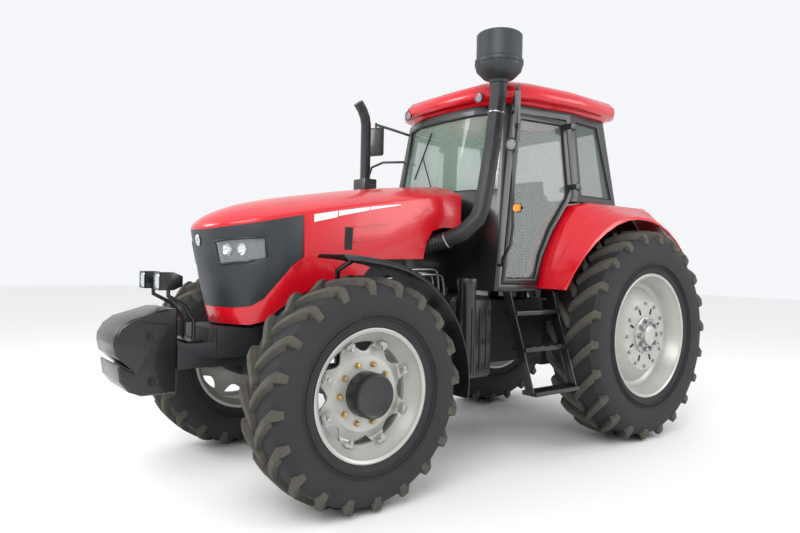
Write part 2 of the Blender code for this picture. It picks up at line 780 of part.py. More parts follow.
def cab_frame():
    shell = cut(cab_hull(0), cab_hull(CAB_WALL, CAB_FLOOR_Z + 0.04, CAB_TOP_Z + 0.1))
    behind_door = [(a + 0.005, z) for a, z in DOOR_OPENING[5:8]]
    room = [(0.745, BELT_Z), *behind_door, (FENDER_FRONT, 1.295), (FENDER_FRONT, 1.0), (-0.5, 1.0), (-0.5, BELT_Z)]
    fender_room = prism(side_outline(room), "X", -1.2, 1.2)
    door = prism(side_outline(DOOR_OPENING), "X", -1.2, 1.2)
    quarter = prism(side_outline(QUARTER_OPENING), "X", -1.2, 1.2)
    screen = prism(SCREEN_OPENING, "Y", ahead(1.8), ahead(1.1))
    rear = prism(REAR_OPENING, "Y", ahead(0.4), ahead(-0.4))
    return piece(cut(shell, fender_room, door, quarter, screen, rear), "cab_frame", BLACK)


def pane(name, outline, axis, low, high, carrier=None):
    """A sheet of glass in the cab's wall, cut to its opening less a seal gap."""
    wall = cab_shell(GLASS_DEPTH, GLASS_DEPTH + GLASS_THICK)
    return piece(common(wall, prism(inset(outline, SEAT_GAP * 2), axis, low, high)), name, GLASS, carrier)


def side_range(side):
    return sorted((side * 0.3, side * 1.3))


DOOR_BORDER = 0.035


def door(side, carrier, name):
    outline = inset(side_outline(DOOR_OPENING), CLEARANCE + 0.002)
    low, high = side_range(side)
    frame = common(cab_shell(0.0, DOOR_THICK), prism(outline, "X", low, high))
    frame = cut(frame, prism(inset(outline, DOOR_BORDER), "X", low, high))
    parts = [frame]
    for z in (2.54, 2.06):
        pin = hinge_at(z, side)
        parts.append(rod(pin - 0.03 * post_direction(side), pin + 0.03 * post_direction(side), 0.014, 12))
        low_x, high_x = sorted((pin.x, pin.x - side * (HINGE_OUT + 0.020)))
        parts.append(box((low_x, pin.y - 0.045, z - 0.02), (high_x, pin.y - 0.016, z + 0.02)))
        low_x, high_x = sorted((pin.x - 0.012, pin.x + 0.012))
        parts.append(box((low_x, pin.y - 0.045, z - 0.02), (high_x, pin.y, z + 0.02)))
    return piece(united(*parts), name, BLACK, carrier)


def door_glass(side, carrier, name):
    outline = inset(side_outline(DOOR_OPENING), CLEARANCE + 0.002 + DOOR_BORDER)
    return pane(name, outline, "X", *side_range(side), carrier)


def cab_floor():
    """The tub between the rear wheels: floor, side walls and rear wall."""
    low_y, high_y = ahead(FENDER_FRONT - SEAT_GAP), ahead(0.08)
    wide, top = 0.585, BELT_Z - SEAT_GAP
    outer = box((-wide, low_y, CAB_FLOOR_Z), (wide, high_y, top))
    inner = box((0.03 - wide, low_y - 0.1, CAB_FLOOR_Z + 0.04), (wide - 0.03, high_y - 0.03, top + 0.1))
    return piece(cut(outer, inner), "cab_floor", CHARCOAL)


FENDER_CENTRE = (0.10, 0.87)
FENDER_FRONT = 1.095
FENDER_WALL = 0.010
FENDER_INNER = 0.5853


FENDER_TURNS = [158 - 9.4 * step for step in range(13)]


def fender_point(turn, share):
    """Y and Z on the fender at an angle, from its outer edge (share 0) to beside the cab (share 1)."""
    front = min(1.0, max(0.0, (turn - 120) / 38))
    back = max(0.0, (90 - turn) / 45)
    radius = 0.985 + 0.060 * front ** 2 + share * (0.225 - 0.225 * front - 0.14 * back)
    angle = math.radians(turn)
    flat_top = BELT_Z - SEAT_GAP - 0.095 * (1 - share)
    return ahead(FENDER_CENTRE[0] - radius * math.cos(angle)), min(flat_top, FENDER_CENTRE[1] + radius * math.sin(angle))


def fender(side, name):
    """An arched shell over the rear tyre, high beside the cab and stepping down to its outer lip."""
    rows = []
    for turn in FENDER_TURNS:
        row = []
        for x, inner_share in ((FENDER_INNER, 1.0), (0.80, 1.0), (0.825, 0.92), (0.855, 0.66), (0.88, 0.60),
                               (0.91, 0.34), (0.94, 0.28), (0.975, 0.05), (1.0, 0.0), (1.008, -0.12)):
            row.append((side * x, *fender_point(turn, inner_share)))
        rows.append(row)
    shell = sheet(rows, FENDER_WALL, name, flip=side < 0)
    foot = box((-1.3, ahead(1.4), 0.9), (1.3, ahead(0.9), 1.245))
    return piece(cut(shell, foot), name, RED)


def cab_roof():
    def ring(z, grow, front_extra=0.0):
        points = []
        for x, a in ((0, 1.40), (0.42, 1.385), (0.60, 1.27), (0.685, 1.10), (0.745, 0.66), (0.73, 0.20),
                     (0.66, 0.10), (0.40, 0.06)):
            points.append((x, ahead(a + (front_extra if a > 1.2 else 0))))
        whole = points + [(-x, y) for x, y in reversed(points[1:])]
        whole.append((0, ahead(0.055)))
        whole = points + [(0, ahead(0.055))] + [(-x, y) for x, y in reversed(points[1:])]
        return [(x, y, z + 0.02 * max(0.0, (REAR_AXLE_Y - 1.0 - y))) for x, y in inset(whole, -grow)]

    rings = [
        ring(CAB_TOP_Z + SEAT_GAP + 0.0, -0.03),
        ring(2.690, -0.01),
        ring(2.692, 0.035),
        ring(2.720, 0.055),
        ring(2.765, 0.050),
        ring(2.810, 0.010),
        ring(2.850, -0.08),
        ring(2.875, -0.22),
    ]
    base = [(x, y, CAB_TOP_Z + SEAT_GAP) for x, y, z in rings[0]]
    return piece(loft([base] + rings[1:]), "cab_roof", RED)


# ---------------------------------------------------------------- inside the cab
def seat():
    y = ahead(0.50)
    parts = [
        bevelled(box((-0.24, y - 0.27, 1.58), (0.24, y + 0.20, 1.70)), 0.03),
        bevelled(box((-0.22, y + 0.14, 1.66), (0.22, y + 0.25, 2.20)), 0.035),
        box((-0.20, y - 0.20, CAB_FLOOR_Z + 0.0403), (0.20, y + 0.15, 1.60)),
    ]
    return piece(united(*parts), "seat", FABRIC)


WHEEL_HUB = Vector((0, ahead(1.03), 1.93))
WHEEL_TILT = math.radians(28)


def dashboard():
    side_view = [(ahead(1.44), CAB_FLOOR_Z + 0.0403), (ahead(1.16), CAB_FLOOR_Z + 0.0403), (ahead(1.20), 1.62),
                 (ahead(1.12), 1.86), (ahead(1.20), 1.94), (ahead(1.40), 1.90)]
    body = bevelled(prism(side_view, "X", -0.19, 0.19), 0.02)
    lean = Vector((0, math.sin(WHEEL_TILT), math.cos(WHEEL_TILT)))
    column = rod(WHEEL_HUB - lean * 0.22, WHEEL_HUB - lean * (0.02 + RUN_GAP), 0.032, 12)
    return piece(united(body, column), "dashboard", CHARCOAL)


def steering_wheel(carrier):
    bm = bmesh.new()
    radius, grip = 0.195, 0.014
    rings = []
    for i in range(18):
        turn = 2 * math.pi * i / 18
        ring = []
        for j in range(6):
            around = 2 * math.pi * j / 6
            reach = radius + grip * math.cos(around)
            ring.append(bm.verts.new((reach * math.cos(turn), reach * math.sin(turn), grip * math.sin(around))))
        rings.append(ring)
    for i in range(18):
        for j in range(6):
            k = (j + 1) % 6
            n = (i + 1) % 18
            bm.faces.new((rings[i][j], rings[n][j], rings[n][k], rings[i][k]))
    torus = helper(linked("grip", mesh_from(bm, "grip")))
    parts = [torus, rod((0, 0, -0.02), (0, 0, 0.012), 0.04, 16)]
    for turn in (90, 210, 330):
        end = (0.195 * math.cos(math.radians(turn)), 0.195 * math.sin(math.radians(turn)), 0)
        parts.append(rod((0, 0, 0), end, 0.010, 8))
    wheel = united(*parts)
    wheel.data.transform(Matrix.Translation(WHEEL_HUB) @ Matrix.Rotation(-WHEEL_TILT, 4, "X"))
    return piece(wheel, "steering_wheel", CHARCOAL, carrier)


# ---------------------------------------------------------------- rails and mirrors
def pillar_at(z, side, out):
    """A point beside the front pillar, that far off the middle of its outer face."""
    def on_cab(number, height):
        share = (height - CAB_FLOOR_Z) / (CAB_TOP_Z - CAB_FLOOR_Z)
        (x0, a0), (x1, a1) = CAB_LOW_PLAN[number], CAB_HIGH_PLAN[number]
        return Vector((x0 + (x1 - x0) * share, ahead(a0 + (a1 - a0) * share), height))

    corner = on_cab(2, z)
    back = (on_cab(3, z) - corner).normalized()
    outward = back.cross(on_cab(2, z + 0.5) - corner).normalized()
    point = corner + back * 0.026 + outward * out
    return Vector((side * point.x, point.y, point.z))


RAIL_RADIUS = 0.011


def grab_rail(side, name):
    route = [
        pillar_at(1.43, side, 0.0005),
        pillar_at(1.43, side, 0.03),
        Vector((side * 0.80, ahead(1.53), 1.48)),
        Vector((side * 0.885, ahead(1.545), 1.57)),
        Vector((side * 0.90, ahead(1.54), 1.70)),
        Vector((side * 0.885, ahead(1.53), 2.20)),
        Vector((side * 0.85, ahead(1.515), 2.30)),
        Vector((side * 0.78, ahead(1.44), 2.345)),
        pillar_at(2.35, side, 0.03),
        pillar_at(2.35, side, 0.0005),
    ]
    return piece(tube(route, RAIL_RADIUS), name, BLACK)


def mirror(side, name, turn):
    """An arm from the pillar's head, and the mirror that hangs from its end."""
    end = Vector((side * 0.86, ahead(1.47), 2.70))
    arm = tube([pillar_at(2.60, side, 0.0005), pillar_at(2.60, side, 0.03), Vector((side * 0.72, ahead(1.36), 2.64)), end], 0.012)
    post = rod(end + Vector((0, 0, 0.015)), end - Vector((0, 0, 0.05)), 0.010, 10)
    head = bevelled(box((-0.085, -0.020, -0.29), (0.085, 0.020, -0.03)), 0.015)
    head.data.transform(Matrix.Translation(end) @ Matrix.Rotation(turn, 4, "Z"))
    return piece(united(arm, post, head), name, BLACK)


# ---------------------------------------------------------------- hood
HOOD_WALL = 0.025
# distance ahead, half width, height of the shoulder, rise of the crown, height of the lower edge
HOOD_STATIONS = (
    (1.600, 0.435, 1.945, 0.100, 1.475),
    (2.000, 0.440, 1.895, 0.110, 1.465),
    (2.380, 0.440, 1.838, 0.115, 1.455),
    (2.500, 0.440, 1.818, 0.115, 1.330),
    (2.700, 0.438, 1.785, 0.115, 1.250),
    (2.920, 0.430, 1.745, 0.115, 1.240),
    (3.080, 0.412, 1.713, 0.112, 1.140),
    (3.190, 0.388, 1.692, 0.106, 1.060),
    (3.290, 0.345, 1.670, 0.092, 1.036),
    (3.370, 0.275, 1.654, 0.070, 1.036),
    (3.425, 0.185, 1.642, 0.045, 1.036),
    (3.448, 0.095, 1.636, 0.022, 1.036),
    (3.455, 0.0, 1.634, 0.014, 1.036),
)


def hood_shell():
    rows = []
    for distance, half, shoulder, crown, low in HOOD_STATIONS:
        middle = low + (shoulder - low) * 0.45
        left = []
        for share, z in ((1.0, low), (1.0, middle), (1.0, shoulder - 0.02)):
            tuck = 0.060 * max(0.0, 1.40 - z) / 0.36 * min(1.0, max(0.0, (distance - 2.9) / 0.3))
            slope = 0.20 * max(0.0, 1.60 - z) * max(0.0, (distance - 3.0) / 0.455)
            left.append((max(0.0, half * share - tuck * min(1, half / 0.2)), ahead(distance - slope), z))
        for share in (0.985, 0.90, 0.66, 0.34):
            rise = crown * (1 - share ** 2.2)
            left.append((half * share, ahead(distance), shoulder + rise))
        whole = left + [(0, ahead(distance), shoulder + crown)] + [(-x, y, z) for x, y, z in reversed(left)]
        rows.append(whole)
    return sheet(rows, HOOD_WALL, "hood_shell", flip=False)


MASK_OUTLINE = (
    (3.70, 1.628),
    (3.448, 1.622),
    (3.150, 1.680),
    (2.935, 1.725),
    (2.930, 1.460),
    (3.010, 1.400),
    (3.090, 1.300),
    (3.160, 1.200),
    (3.220, 1.155),
    (3.300, 1.140),
    (3.70, 1.140),
)
HEADLIGHT_OUTLINE = ((0.195, 1.540), (0.500, 1.585), (0.500, 1.500), (0.330, 1.430), (0.200, 1.415))


def hood_cutter(gap):
    return prism(inset(side_outline(MASK_OUTLINE), gap), "X", -0.8, 0.8)


def lamp_cutter(side, gap):
    outline = [(side * x, z) for x, z in inset(HEADLIGHT_OUTLINE, gap)]
    return prism(outline, "Y", ahead(3.6), ahead(3.17 + gap))


def hood(carrier):
    shell = cut(hood_shell(), hood_cutter(0.0))
    notch = prism(side_outline(((1.50, 1.40), (1.50, 1.70), (1.78, 1.70), (1.88, 1.67), (1.94, 1.58), (1.98, 1.40))),
                  "X", 0.2, 0.8)
    parts = [cut(shell, notch)]
    x, y, z = HOOD_HINGE
    parts.append(rod((-0.21, y, z), (0.21, y, z), 0.013, 12))
    for side in SIDES.values():
        lug = [(ahead(1.70), z + 0.042), (ahead(1.70), z - 0.01), (y, z - 0.012), (y + 0.012, z + 0.004), (y, z + 0.048)]
        low, high = sorted((side * 0.16, side * 0.22))
        parts.append(prism(lug, "X", low, high))
    return piece(united(*parts), "hood", RED, carrier)


def hood_mask(carrier):
    mask = common(hood_shell(), hood_cutter(SEAT_GAP))
    mask = cut(mask, lamp_cutter(1, 0.0), lamp_cutter(-1, 0.0))
    return piece(mask, "hood_mask", CHARCOAL, carrier)


def headlight(side, carrier, name):
    lens = common(common(hood_shell(), hood_cutter(SEAT_GAP)), lamp_cutter(side, SEAT_GAP))
    return piece(lens, name, LAMP, carrier)


# ---------------------------------------------------------------- hitch
def lower_link(side, carrier, name):
    x, y, z = LINK_PIVOT
    start = Vector((side * 0.345, y, z + 0.08))
    end = Vector((side * 0.42, ahead(0.035 - HITCH_BEHIND), 0.46))
    parts = [
        rod(start, end, 0.022, 10),
        rod((start.x - side * 0.0235, start.y, start.z), (start.x + side * 0.03, start.y, start.z), 0.04, 16),
        rod((end.x - 0.025, end.y, end.z), (end.x + 0.025, end.y, end.z), 0.035, 16),
    ]
    return piece(united(*parts), name, BLACK, carrier)


LIFT_X = 0.30


def lift_arms(carrier):
    x, y, z = ROCKSHAFT
    parts = [rod((-LIFT_X - 0.02, y, z), (LIFT_X + 0.02, y, z), 0.032, 16)]
    for side in SIDES.values():
        end = Vector((side * LIFT_X, ahead(LIFT_ROD_AHEAD), LIFT_ARM_END_Z))
        parts.append(rod((side * LIFT_X, y, z), end, 0.030, 10, 0.018))
        parts.append(rod(end - Vector((0.02, 0, 0)), end + Vector((0.02, 0, 0)), 0.03, 12))
    return piece(united(*parts), "lift_arms", BLACK, carrier)


def lift_rod(side, carrier, name):
    x = side * (LIFT_X + 0.02 + RUN_GAP + 0.016)
    y = ahead(LIFT_ROD_AHEAD)
    parts = [
        rod((x, y, LIFT_ARM_END_Z + 0.02), (x, y, 0.615), 0.0155, 10),
        rod((x, y, 0.95), (x, y, 0.72), 0.022, 10),
    ]
    return piece(united(*parts), name, BLACK, carrier)


def drawbar():
    plate = box((-0.045, ahead(-0.06), 0.50), (0.045, ahead(-0.74), 0.535))
    guide = box((-0.14, ahead(-0.20), 0.505), (0.14, ahead(-0.26), 0.5497))
    return piece(united(plate, guide), "drawbar", IRON)


# ---------------------------------------------------------------- assembly
front_frame()
front_weights()
work_lamps()
engine_block()
gearbox_housing()
rear_axle_housing()
front_axle_beam()
side_box(1, "fuel_tank", True)
side_box(-1, "battery_box", False)
exhaust_stack()
intake_pipe()
pre_cleaner()
cab_frame()
cab_floor()
cab_roof()
pane("windscreen", SCREEN_OPENING, "Y", ahead(1.8), ahead(1.1))
pane("rear_window", REAR_OPENING, "Y", ahead(0.4), ahead(-0.4))
seat()
dashboard()
drawbar()

hood_joint = joint_empty("hood_joint", HOOD_HINGE, (1, 0, 0))
hood(hood_joint)
hood_mask(hood_joint)

wheel_joint = joint_empty("steering_wheel_joint", WHEEL_HUB, (0, math.sin(WHEEL_TILT), math.cos(WHEEL_TILT)))
steering_wheel(wheel_joint)
tie_rod(joint_empty("tie_rod_joint", (0, ahead(WHEELBASE) + STEER_ARM_BACK, BOSS_LOW), (1, 0, 0)))
arms_joint = joint_empty("lift_arms_joint", ROCKSHAFT, (1, 0, 0))
lift_arms(arms_joint)

for word, side in SIDES.items():
    fender(side, f"fender_{word}")
    steps(side, f"steps_{word}")
    grab_rail(side, f"grab_rail_{word}")
    mirror(side, f"mirror_{word}", math.radians(-49 if side > 0 else 22))
    pane(f"quarter_window_{word}", side_outline(QUARTER_OPENING), "X", *side_range(side))
    headlight(side, hood_joint, f"headlight_{word}")
    door_joint = joint_empty(f"door_{word}_joint", hinge_at(POST_FOOT.z, side), post_direction(side))
    door(side, door_joint, f"door_{word}")
    door_glass(side, door_joint, f"door_glass_{word}")
    kingpin = joint_empty(f"kingpin_{word}_joint", (side * KINGPIN_X, ahead(WHEELBASE), FRONT_AXLE_Z))
    knuckle(side, kingpin, f"knuckle_{word}")
    mudguard(side, kingpin, f"mudguard_{word}")
    link_joint = joint_empty(f"lower_link_{word}_joint", Vector(LINK_PIVOT) + Vector((0, 0, 0.08)), (1, 0, 0))
    lower_link(side, link_joint, f"lower_link_{word}")
    rod_place = (side * LIFT_X, ahead(LIFT_ROD_AHEAD), LIFT_ARM_END_Z)
    lift_rod(side, joint_empty(f"lift_rod_{word}_joint", rod_place, (1, 0, 0), arms_joint), f"lift_rod_{word}")
    for kind in ("front", "rear"):
        x, y, z = WHEEL_CENTRE[kind]
        parent = kingpin if kind == "front" else None
        axle = joint_empty(f"wheel_{kind}_{word}_joint", (side * x, y, z), (1, 0, 0), parent)
        tyre(f"tyre_{kind}_{word}", side, kind, axle)
        rim(f"rim_{kind}_{word}", side, kind, axle)
        if kind == "front":
            front_hub(f"hub_front_{word}", side, axle)
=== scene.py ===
# %% [markdown]
# # A four-wheel-drive farm tractor
# The tractor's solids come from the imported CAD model, and this lesson dresses them: tyres with cut lugs,
# pressed wheels, enamelled sheet metal, tinted glass, lamps, rails and the fittings of the cab. The first
# cell loads the frame. Every size below is in metres. Most places start from the box of a CAD piece or from a
# ray shot at its skin, so that a dressed piece follows its solid.

# %% Load the frame
import math
import json

import bmesh
import bpy
from mathutils import Matrix, Vector


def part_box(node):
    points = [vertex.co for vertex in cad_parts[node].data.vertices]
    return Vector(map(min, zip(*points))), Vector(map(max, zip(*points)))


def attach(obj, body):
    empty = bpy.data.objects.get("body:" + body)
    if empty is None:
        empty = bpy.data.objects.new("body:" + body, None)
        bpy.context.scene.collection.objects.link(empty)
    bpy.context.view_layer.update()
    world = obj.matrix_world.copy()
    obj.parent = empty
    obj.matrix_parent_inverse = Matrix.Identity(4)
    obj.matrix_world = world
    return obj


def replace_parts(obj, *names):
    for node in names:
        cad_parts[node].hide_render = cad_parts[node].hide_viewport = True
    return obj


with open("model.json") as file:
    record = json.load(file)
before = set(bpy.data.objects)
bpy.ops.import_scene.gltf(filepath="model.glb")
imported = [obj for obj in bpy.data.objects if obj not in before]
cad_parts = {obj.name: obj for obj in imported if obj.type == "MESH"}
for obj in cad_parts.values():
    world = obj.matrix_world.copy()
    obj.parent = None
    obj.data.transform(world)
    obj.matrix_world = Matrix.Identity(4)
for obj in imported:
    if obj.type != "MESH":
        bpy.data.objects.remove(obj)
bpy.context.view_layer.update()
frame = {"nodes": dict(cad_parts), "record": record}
SIDES = {"left": 1, "right": -1}

# %% [markdown]
# ## Camera, floor and light
# The tractor stands as in a catalogue view, seen from ahead and to its left at about a driver's chest
# height, through a moderately wide lens. A camera is placed by its position and three angles, and the
# matrix is built from them, because that keeps the small roll of a hand-held view. The light is a pale
# studio: a bright world with one large soft key and a strip that draws a highlight along the hood.

# %% Camera
CAMERA_PLACE = Vector((3.969, -3.472, 1.444))
YAW, PITCH, ROLL = (math.radians(angle) for angle in (51.95, 0.437, 1.114))
LENS_MM = 29.0

backward = Vector((math.sin(YAW) * math.cos(PITCH), -math.cos(YAW) * math.cos(PITCH), math.sin(PITCH)))
level_right = Vector((math.cos(YAW), math.sin(YAW), 0))
level_up = backward.cross(level_right)
camera_right = math.cos(ROLL) * level_right + math.sin(ROLL) * level_up
camera_up = math.cos(ROLL) * level_up - math.sin(ROLL) * level_right
camera = bpy.data.objects.new("view_camera", bpy.data.cameras.new("view_camera"))
bpy.context.scene.collection.objects.link(camera)
camera.data.lens = LENS_MM
camera_turn = Matrix((camera_right, camera_up, backward)).transposed().to_4x4()
camera.matrix_world = Matrix.Translation(CAMERA_PLACE) @ camera_turn
bpy.context.scene.camera = camera
print("camera at", [round(value, 3) for value in CAMERA_PLACE])


# %% Floor and lights
def linear(hex_colour, alpha=1.0):
    """The linear colour of an sRGB hex value."""
    shares = [int(hex_colour[i:i + 2], 16) / 255 for i in (1, 3, 5)]
    return (*(c / 12.92 if c <= 0.04045 else ((c + 0.055) / 1.055) ** 2.4 for c in shares), alpha)


def add_node(tree, kind, inputs=None, **settings):
    """Adds a node, with its settings and with its inputs set or linked."""
    made = tree.nodes.new(kind)
    for name, value in settings.items():
        setattr(made, name, value)
    for name, value in (inputs or {}).items():
        if isinstance(value, bpy.types.NodeSocket):
            tree.links.new(value, made.inputs[name])
        else:
            made.inputs[name].default_value = value
    return made


def object_from(mesh, name):
    made = bpy.data.objects.new(name, mesh)
    bpy.context.scene.collection.objects.link(made)
    return made


def mesh_from(bm, name, recalculate=True):
    if recalculate:
        bmesh.ops.recalc_face_normals(bm, faces=bm.faces)
    mesh = bpy.data.meshes.new(name)
    bm.to_mesh(mesh)
    bm.free()
    return mesh


FLOOR_SIZE = 60.0
floor_bm = bmesh.new()
bmesh.ops.create_grid(floor_bm, x_segments=2, y_segments=2, size=FLOOR_SIZE / 2)
floor = object_from(mesh_from(floor_bm, "studio_floor", False), "studio_floor")
floor_finish = bpy.data.materials.new("matt_studio_floor")
floor_finish.use_nodes = True
floor_finish.node_tree.nodes["Principled BSDF"].inputs["Base Color"].default_value = linear("#F4F4F2")
floor_finish.node_tree.nodes["Principled BSDF"].inputs["Roughness"].default_value = 0.9
floor.data.materials.append(floor_finish)

world = bpy.data.worlds.new("pale_studio")
world.use_nodes = True
world.node_tree.nodes["Background"].inputs["Color"].default_value = linear("#FBFCFF")
world.node_tree.nodes["Background"].inputs["Strength"].default_value = 0.95
bpy.context.scene.world = world
bpy.context.scene.view_settings.view_transform = "Standard"

LIGHTS = {
    "soft_key": ((5.0, -6.5, 6.5), (0.0, -0.4, 1.1), 5.0, 450.0),
    "hood_strip": ((-3.5, -6.0, 4.5), (0.0, -1.0, 1.6), 2.5, 190.0),
    "rear_fill": ((6.5, 5.0, 4.0), (0.0, 0.6, 1.4), 4.0, 190.0),
}
for light_name, (light_place, light_target, light_size, light_power) in LIGHTS.items():
    lamp = bpy.data.lights.new(light_name, "AREA")
    lamp.size = light_size
    lamp.energy = light_power
    light = bpy.data.objects.new(light_name, lamp)
    bpy.context.scene.collection.objects.link(light)
    light.location = light_place
    light.rotation_euler = (Vector(light_target) - Vector(light_place)).to_track_quat("-Z", "Y").to_euler()
print(len(LIGHTS), "studio lights")

# %% [markdown]
# ## Finishes
# A tractor carries few materials: enamel over pressed steel, powder-coated brackets, moulded plastic, rubber,
# cast iron, tinted safety glass, zinc-plated fastenings and lamp lenses. Each is a Principled surface. What
# makes it read as real is small: an orange-peel bump in the enamel, a fine grain in the plastic, dust that
# lies in patches on the rubber. One function builds the common parts, a colour that wanders between two
# shades and a fine bump, with both patterns given as real sizes in millimetres.


# %% One function for a finish
def surface(name, shade, other_shade, patch_mm, roughness, grain_mm, grain_height, metallic=0.0, coat=0.0,
            roughness_spread=0.08, patch_softness=0.25):
    """A finish whose colour wanders between two shades and whose surface has a fine grain."""
    made = bpy.data.materials.new(name)
    made.use_nodes = True
    tree = made.node_tree
    shader = tree.nodes["Principled BSDF"]
    place = add_node(tree, "ShaderNodeTexCoord").outputs["Object"]
    patches = add_node(tree, "ShaderNodeTexNoise", {"Vector": place, "Scale": 1000 / patch_mm, "Detail": 5.0,
                                                    "Roughness": 0.62})
    edge = add_node(tree, "ShaderNodeMapRange",
                    {"Value": patches.outputs["Fac"], "From Min": 0.5 - patch_softness,
                                                 "From Max": 0.5 + patch_softness})
    colour = add_node(tree, "ShaderNodeMix",
                      {"Factor": edge.outputs["Result"], 6: linear(shade), 7: linear(other_shade)},
                      data_type="RGBA")
    tree.links.new(colour.outputs[2], shader.inputs["Base Color"])
    rough = add_node(tree, "ShaderNodeMapRange",
                     {"Value": patches.outputs["Fac"], "To Min": roughness - roughness_spread,
                                                  "To Max": roughness + roughness_spread})
    tree.links.new(rough.outputs["Result"], shader.inputs["Roughness"])
    grain = add_node(tree, "ShaderNodeTexNoise", {"Vector": place, "Scale": 1000 / grain_mm, "Detail": 3.0})
    bump = add_node(tree, "ShaderNodeBump",
                    {"Height": grain.outputs["Fac"], "Distance": grain_height, "Strength": 0.6})
    tree.links.new(bump.outputs["Normal"], shader.inputs["Normal"])
    shader.inputs["Metallic"].default_value = metallic
    shader.inputs["Coat Weight"].default_value = coat
    shader.inputs["Coat Roughness"].default_value = 0.06
    return made


# %% Enamels and powder coats
# Stoved enamel: a smooth film over steel with a faint orange peel, so highlights stay sharp but waver.
red_enamel = surface("stoved_red_enamel", "#CE0C1F", "#C40A1B", 420, 0.27, 9, 0.0002, coat=0.3,
                     roughness_spread=0.03)
# Black powder coat on brackets and mudguards: a satin sheen and a pebbled skin.
black_powder = surface("black_powder_coat", "#0D0E10", "#17181B", 300, 0.34, 4, 0.0003, coat=0.25)
# Silver wheel enamel: flat, slightly metallic, and dusted where the wheel throws dirt.
wheel_silver = surface("silver_wheel_enamel", "#B9BAB6", "#A6A59E", 260, 0.40, 6, 0.0003, metallic=0.35,
                       coat=0.1)
# Cast iron under chassis paint: a sand-cast skin that is matt and uneven.
casting = surface("painted_sand_casting", "#17191B", "#23262A", 180, 0.55, 7, 0.0010)

# %% Plastics and rubbers
# Moulded charcoal plastic of the nose: a leather-like spark-eroded grain, drawn at 3 mm so that it shows.
mask_plastic = surface("charcoal_moulded_plastic", "#24282C", "#2C3135", 350, 0.46, 3, 0.0004)
grey_plastic = surface("grey_moulded_plastic", "#3A3E43", "#454A4F", 350, 0.50, 3, 0.0004)
# Tyre rubber: carbon-black compound with a bloom of pale dust.
tyre_rubber = surface("carbon_black_tyre_rubber", "#1E1F21", "#2A2A2B", 140, 0.82, 5, 0.0006)
# Tread faces have rubbed on the ground, so earth colour sits in them.
tread_rubber = surface("dusty_tread_rubber", "#3F3D39", "#545048", 60, 0.92, 6, 0.0010)
hose_rubber = surface("moulded_hose_rubber", "#111213", "#1A1B1D", 120, 0.48, 3, 0.0003)
# Black seal rubber also gives the black patches of painted shade in the vent slots, the weights' lifting slot
# and the rear drums' slots.
seal_rubber = surface("black_seal_rubber", "#0B0C0D", "#131415", 120, 0.65, 3, 0.0002)

# %% Metals, cloth and paint marks
# Zinc plate on bolts, rails and clamps: bright, with a slight bluish bloom.
zinc_plate = surface("bright_zinc_plate", "#B8BABC", "#9B9DA0", 40, 0.30, 2, 0.0001, metallic=1.0)
# Yellow-passivated nuts round the front hubs look like brass.
yellow_zinc = surface("yellow_passivated_zinc", "#C8AE82", "#A98D62", 30, 0.36, 2, 0.0001, metallic=0.9)
white_film = surface("white_stripe_film", "#E9E9E7", "#DEDEDC", 300, 0.30, 4, 0.0001, coat=0.4)
seat_cloth = surface("woven_seat_cloth", "#1B1C20", "#2A2C31", 8, 0.90, 2, 0.0008)
reflector = surface("vacuum_plated_reflector", "#E9EBEE", "#D9DCE0", 60, 0.12, 4, 0.0001, metallic=1.0,
                    roughness_spread=0.03)
mirror_glass = surface("silvered_mirror_glass", "#C8CED2", "#C2C8CC", 400, 0.05, 50, 0.0, metallic=1.0,
                       roughness_spread=0.01)


# %% [markdown]
# ### Glass and lenses
# Cab glass is green-tinted safety glass. Through one thin pane the eye sees a pale green veil and the
# reflected sky, so the simplest honest surface is a smooth, partly transparent one. Lamp lenses are the same
# with a clear, amber or red pigment.


# %% Glass finishes
def see_through(name, shade, alpha, roughness=0.03):
    made = bpy.data.materials.new(name)
    made.use_nodes = True
    shader = made.node_tree.nodes["Principled BSDF"]
    shader.inputs["Base Color"].default_value = linear(shade)
    shader.inputs["Roughness"].default_value = roughness
    shader.inputs["Alpha"].default_value = alpha
    shader.inputs["Coat Weight"].default_value = 0.5
    return made


screen_glass = see_through("pale_green_laminated_glass", "#9DB8A8", 0.26)
side_glass = see_through("grey_green_toughened_glass", "#68756F", 0.38)
clear_lens = see_through("clear_lamp_lens", "#DDE4E8", 0.16)
amber_lens = see_through("amber_lamp_lens", "#FF9310", 0.92, 0.12)
red_lens = see_through("red_lamp_lens", "#C1141B", 0.92, 0.12)
print(len(bpy.data.materials), "finishes")

# %% [markdown]
# ## Helpers for making pieces
# Most fittings are one of a few shapes: a profile turned round an axis, a round bar along a route, a block
# with softened edges, or an outline given a thickness. Each helper returns a plain mesh object at the origin,
# and dress() then names it, gives it a finish and hangs it on the CAD body it belongs to.


# %% Shapes
def turned(profile, steps=72, name="turned"):
    """A closed profile of (distance along X, radius) points, turned round the X axis."""
    bm = bmesh.new()
    rings = []
    for along, radius in profile:
        if radius < 1e-6:
            rings.append([bm.verts.new((along, 0, 0))] * steps)
            continue
        angles = [2 * math.pi * i / steps for i in range(steps)]
        rings.append([bm.verts.new((along, radius * math.cos(a), radius * math.sin(a))) for a in angles])
    for ring, following in zip(rings, rings[1:] + rings[:1]):
        for i in range(steps):
            corners = dict.fromkeys((ring[i], ring[(i + 1) % steps], following[(i + 1) % steps],
                                     following[i]))
            if len(corners) > 2:
                bm.faces.new(tuple(corners))
    return object_from(mesh_from(bm, name), name)


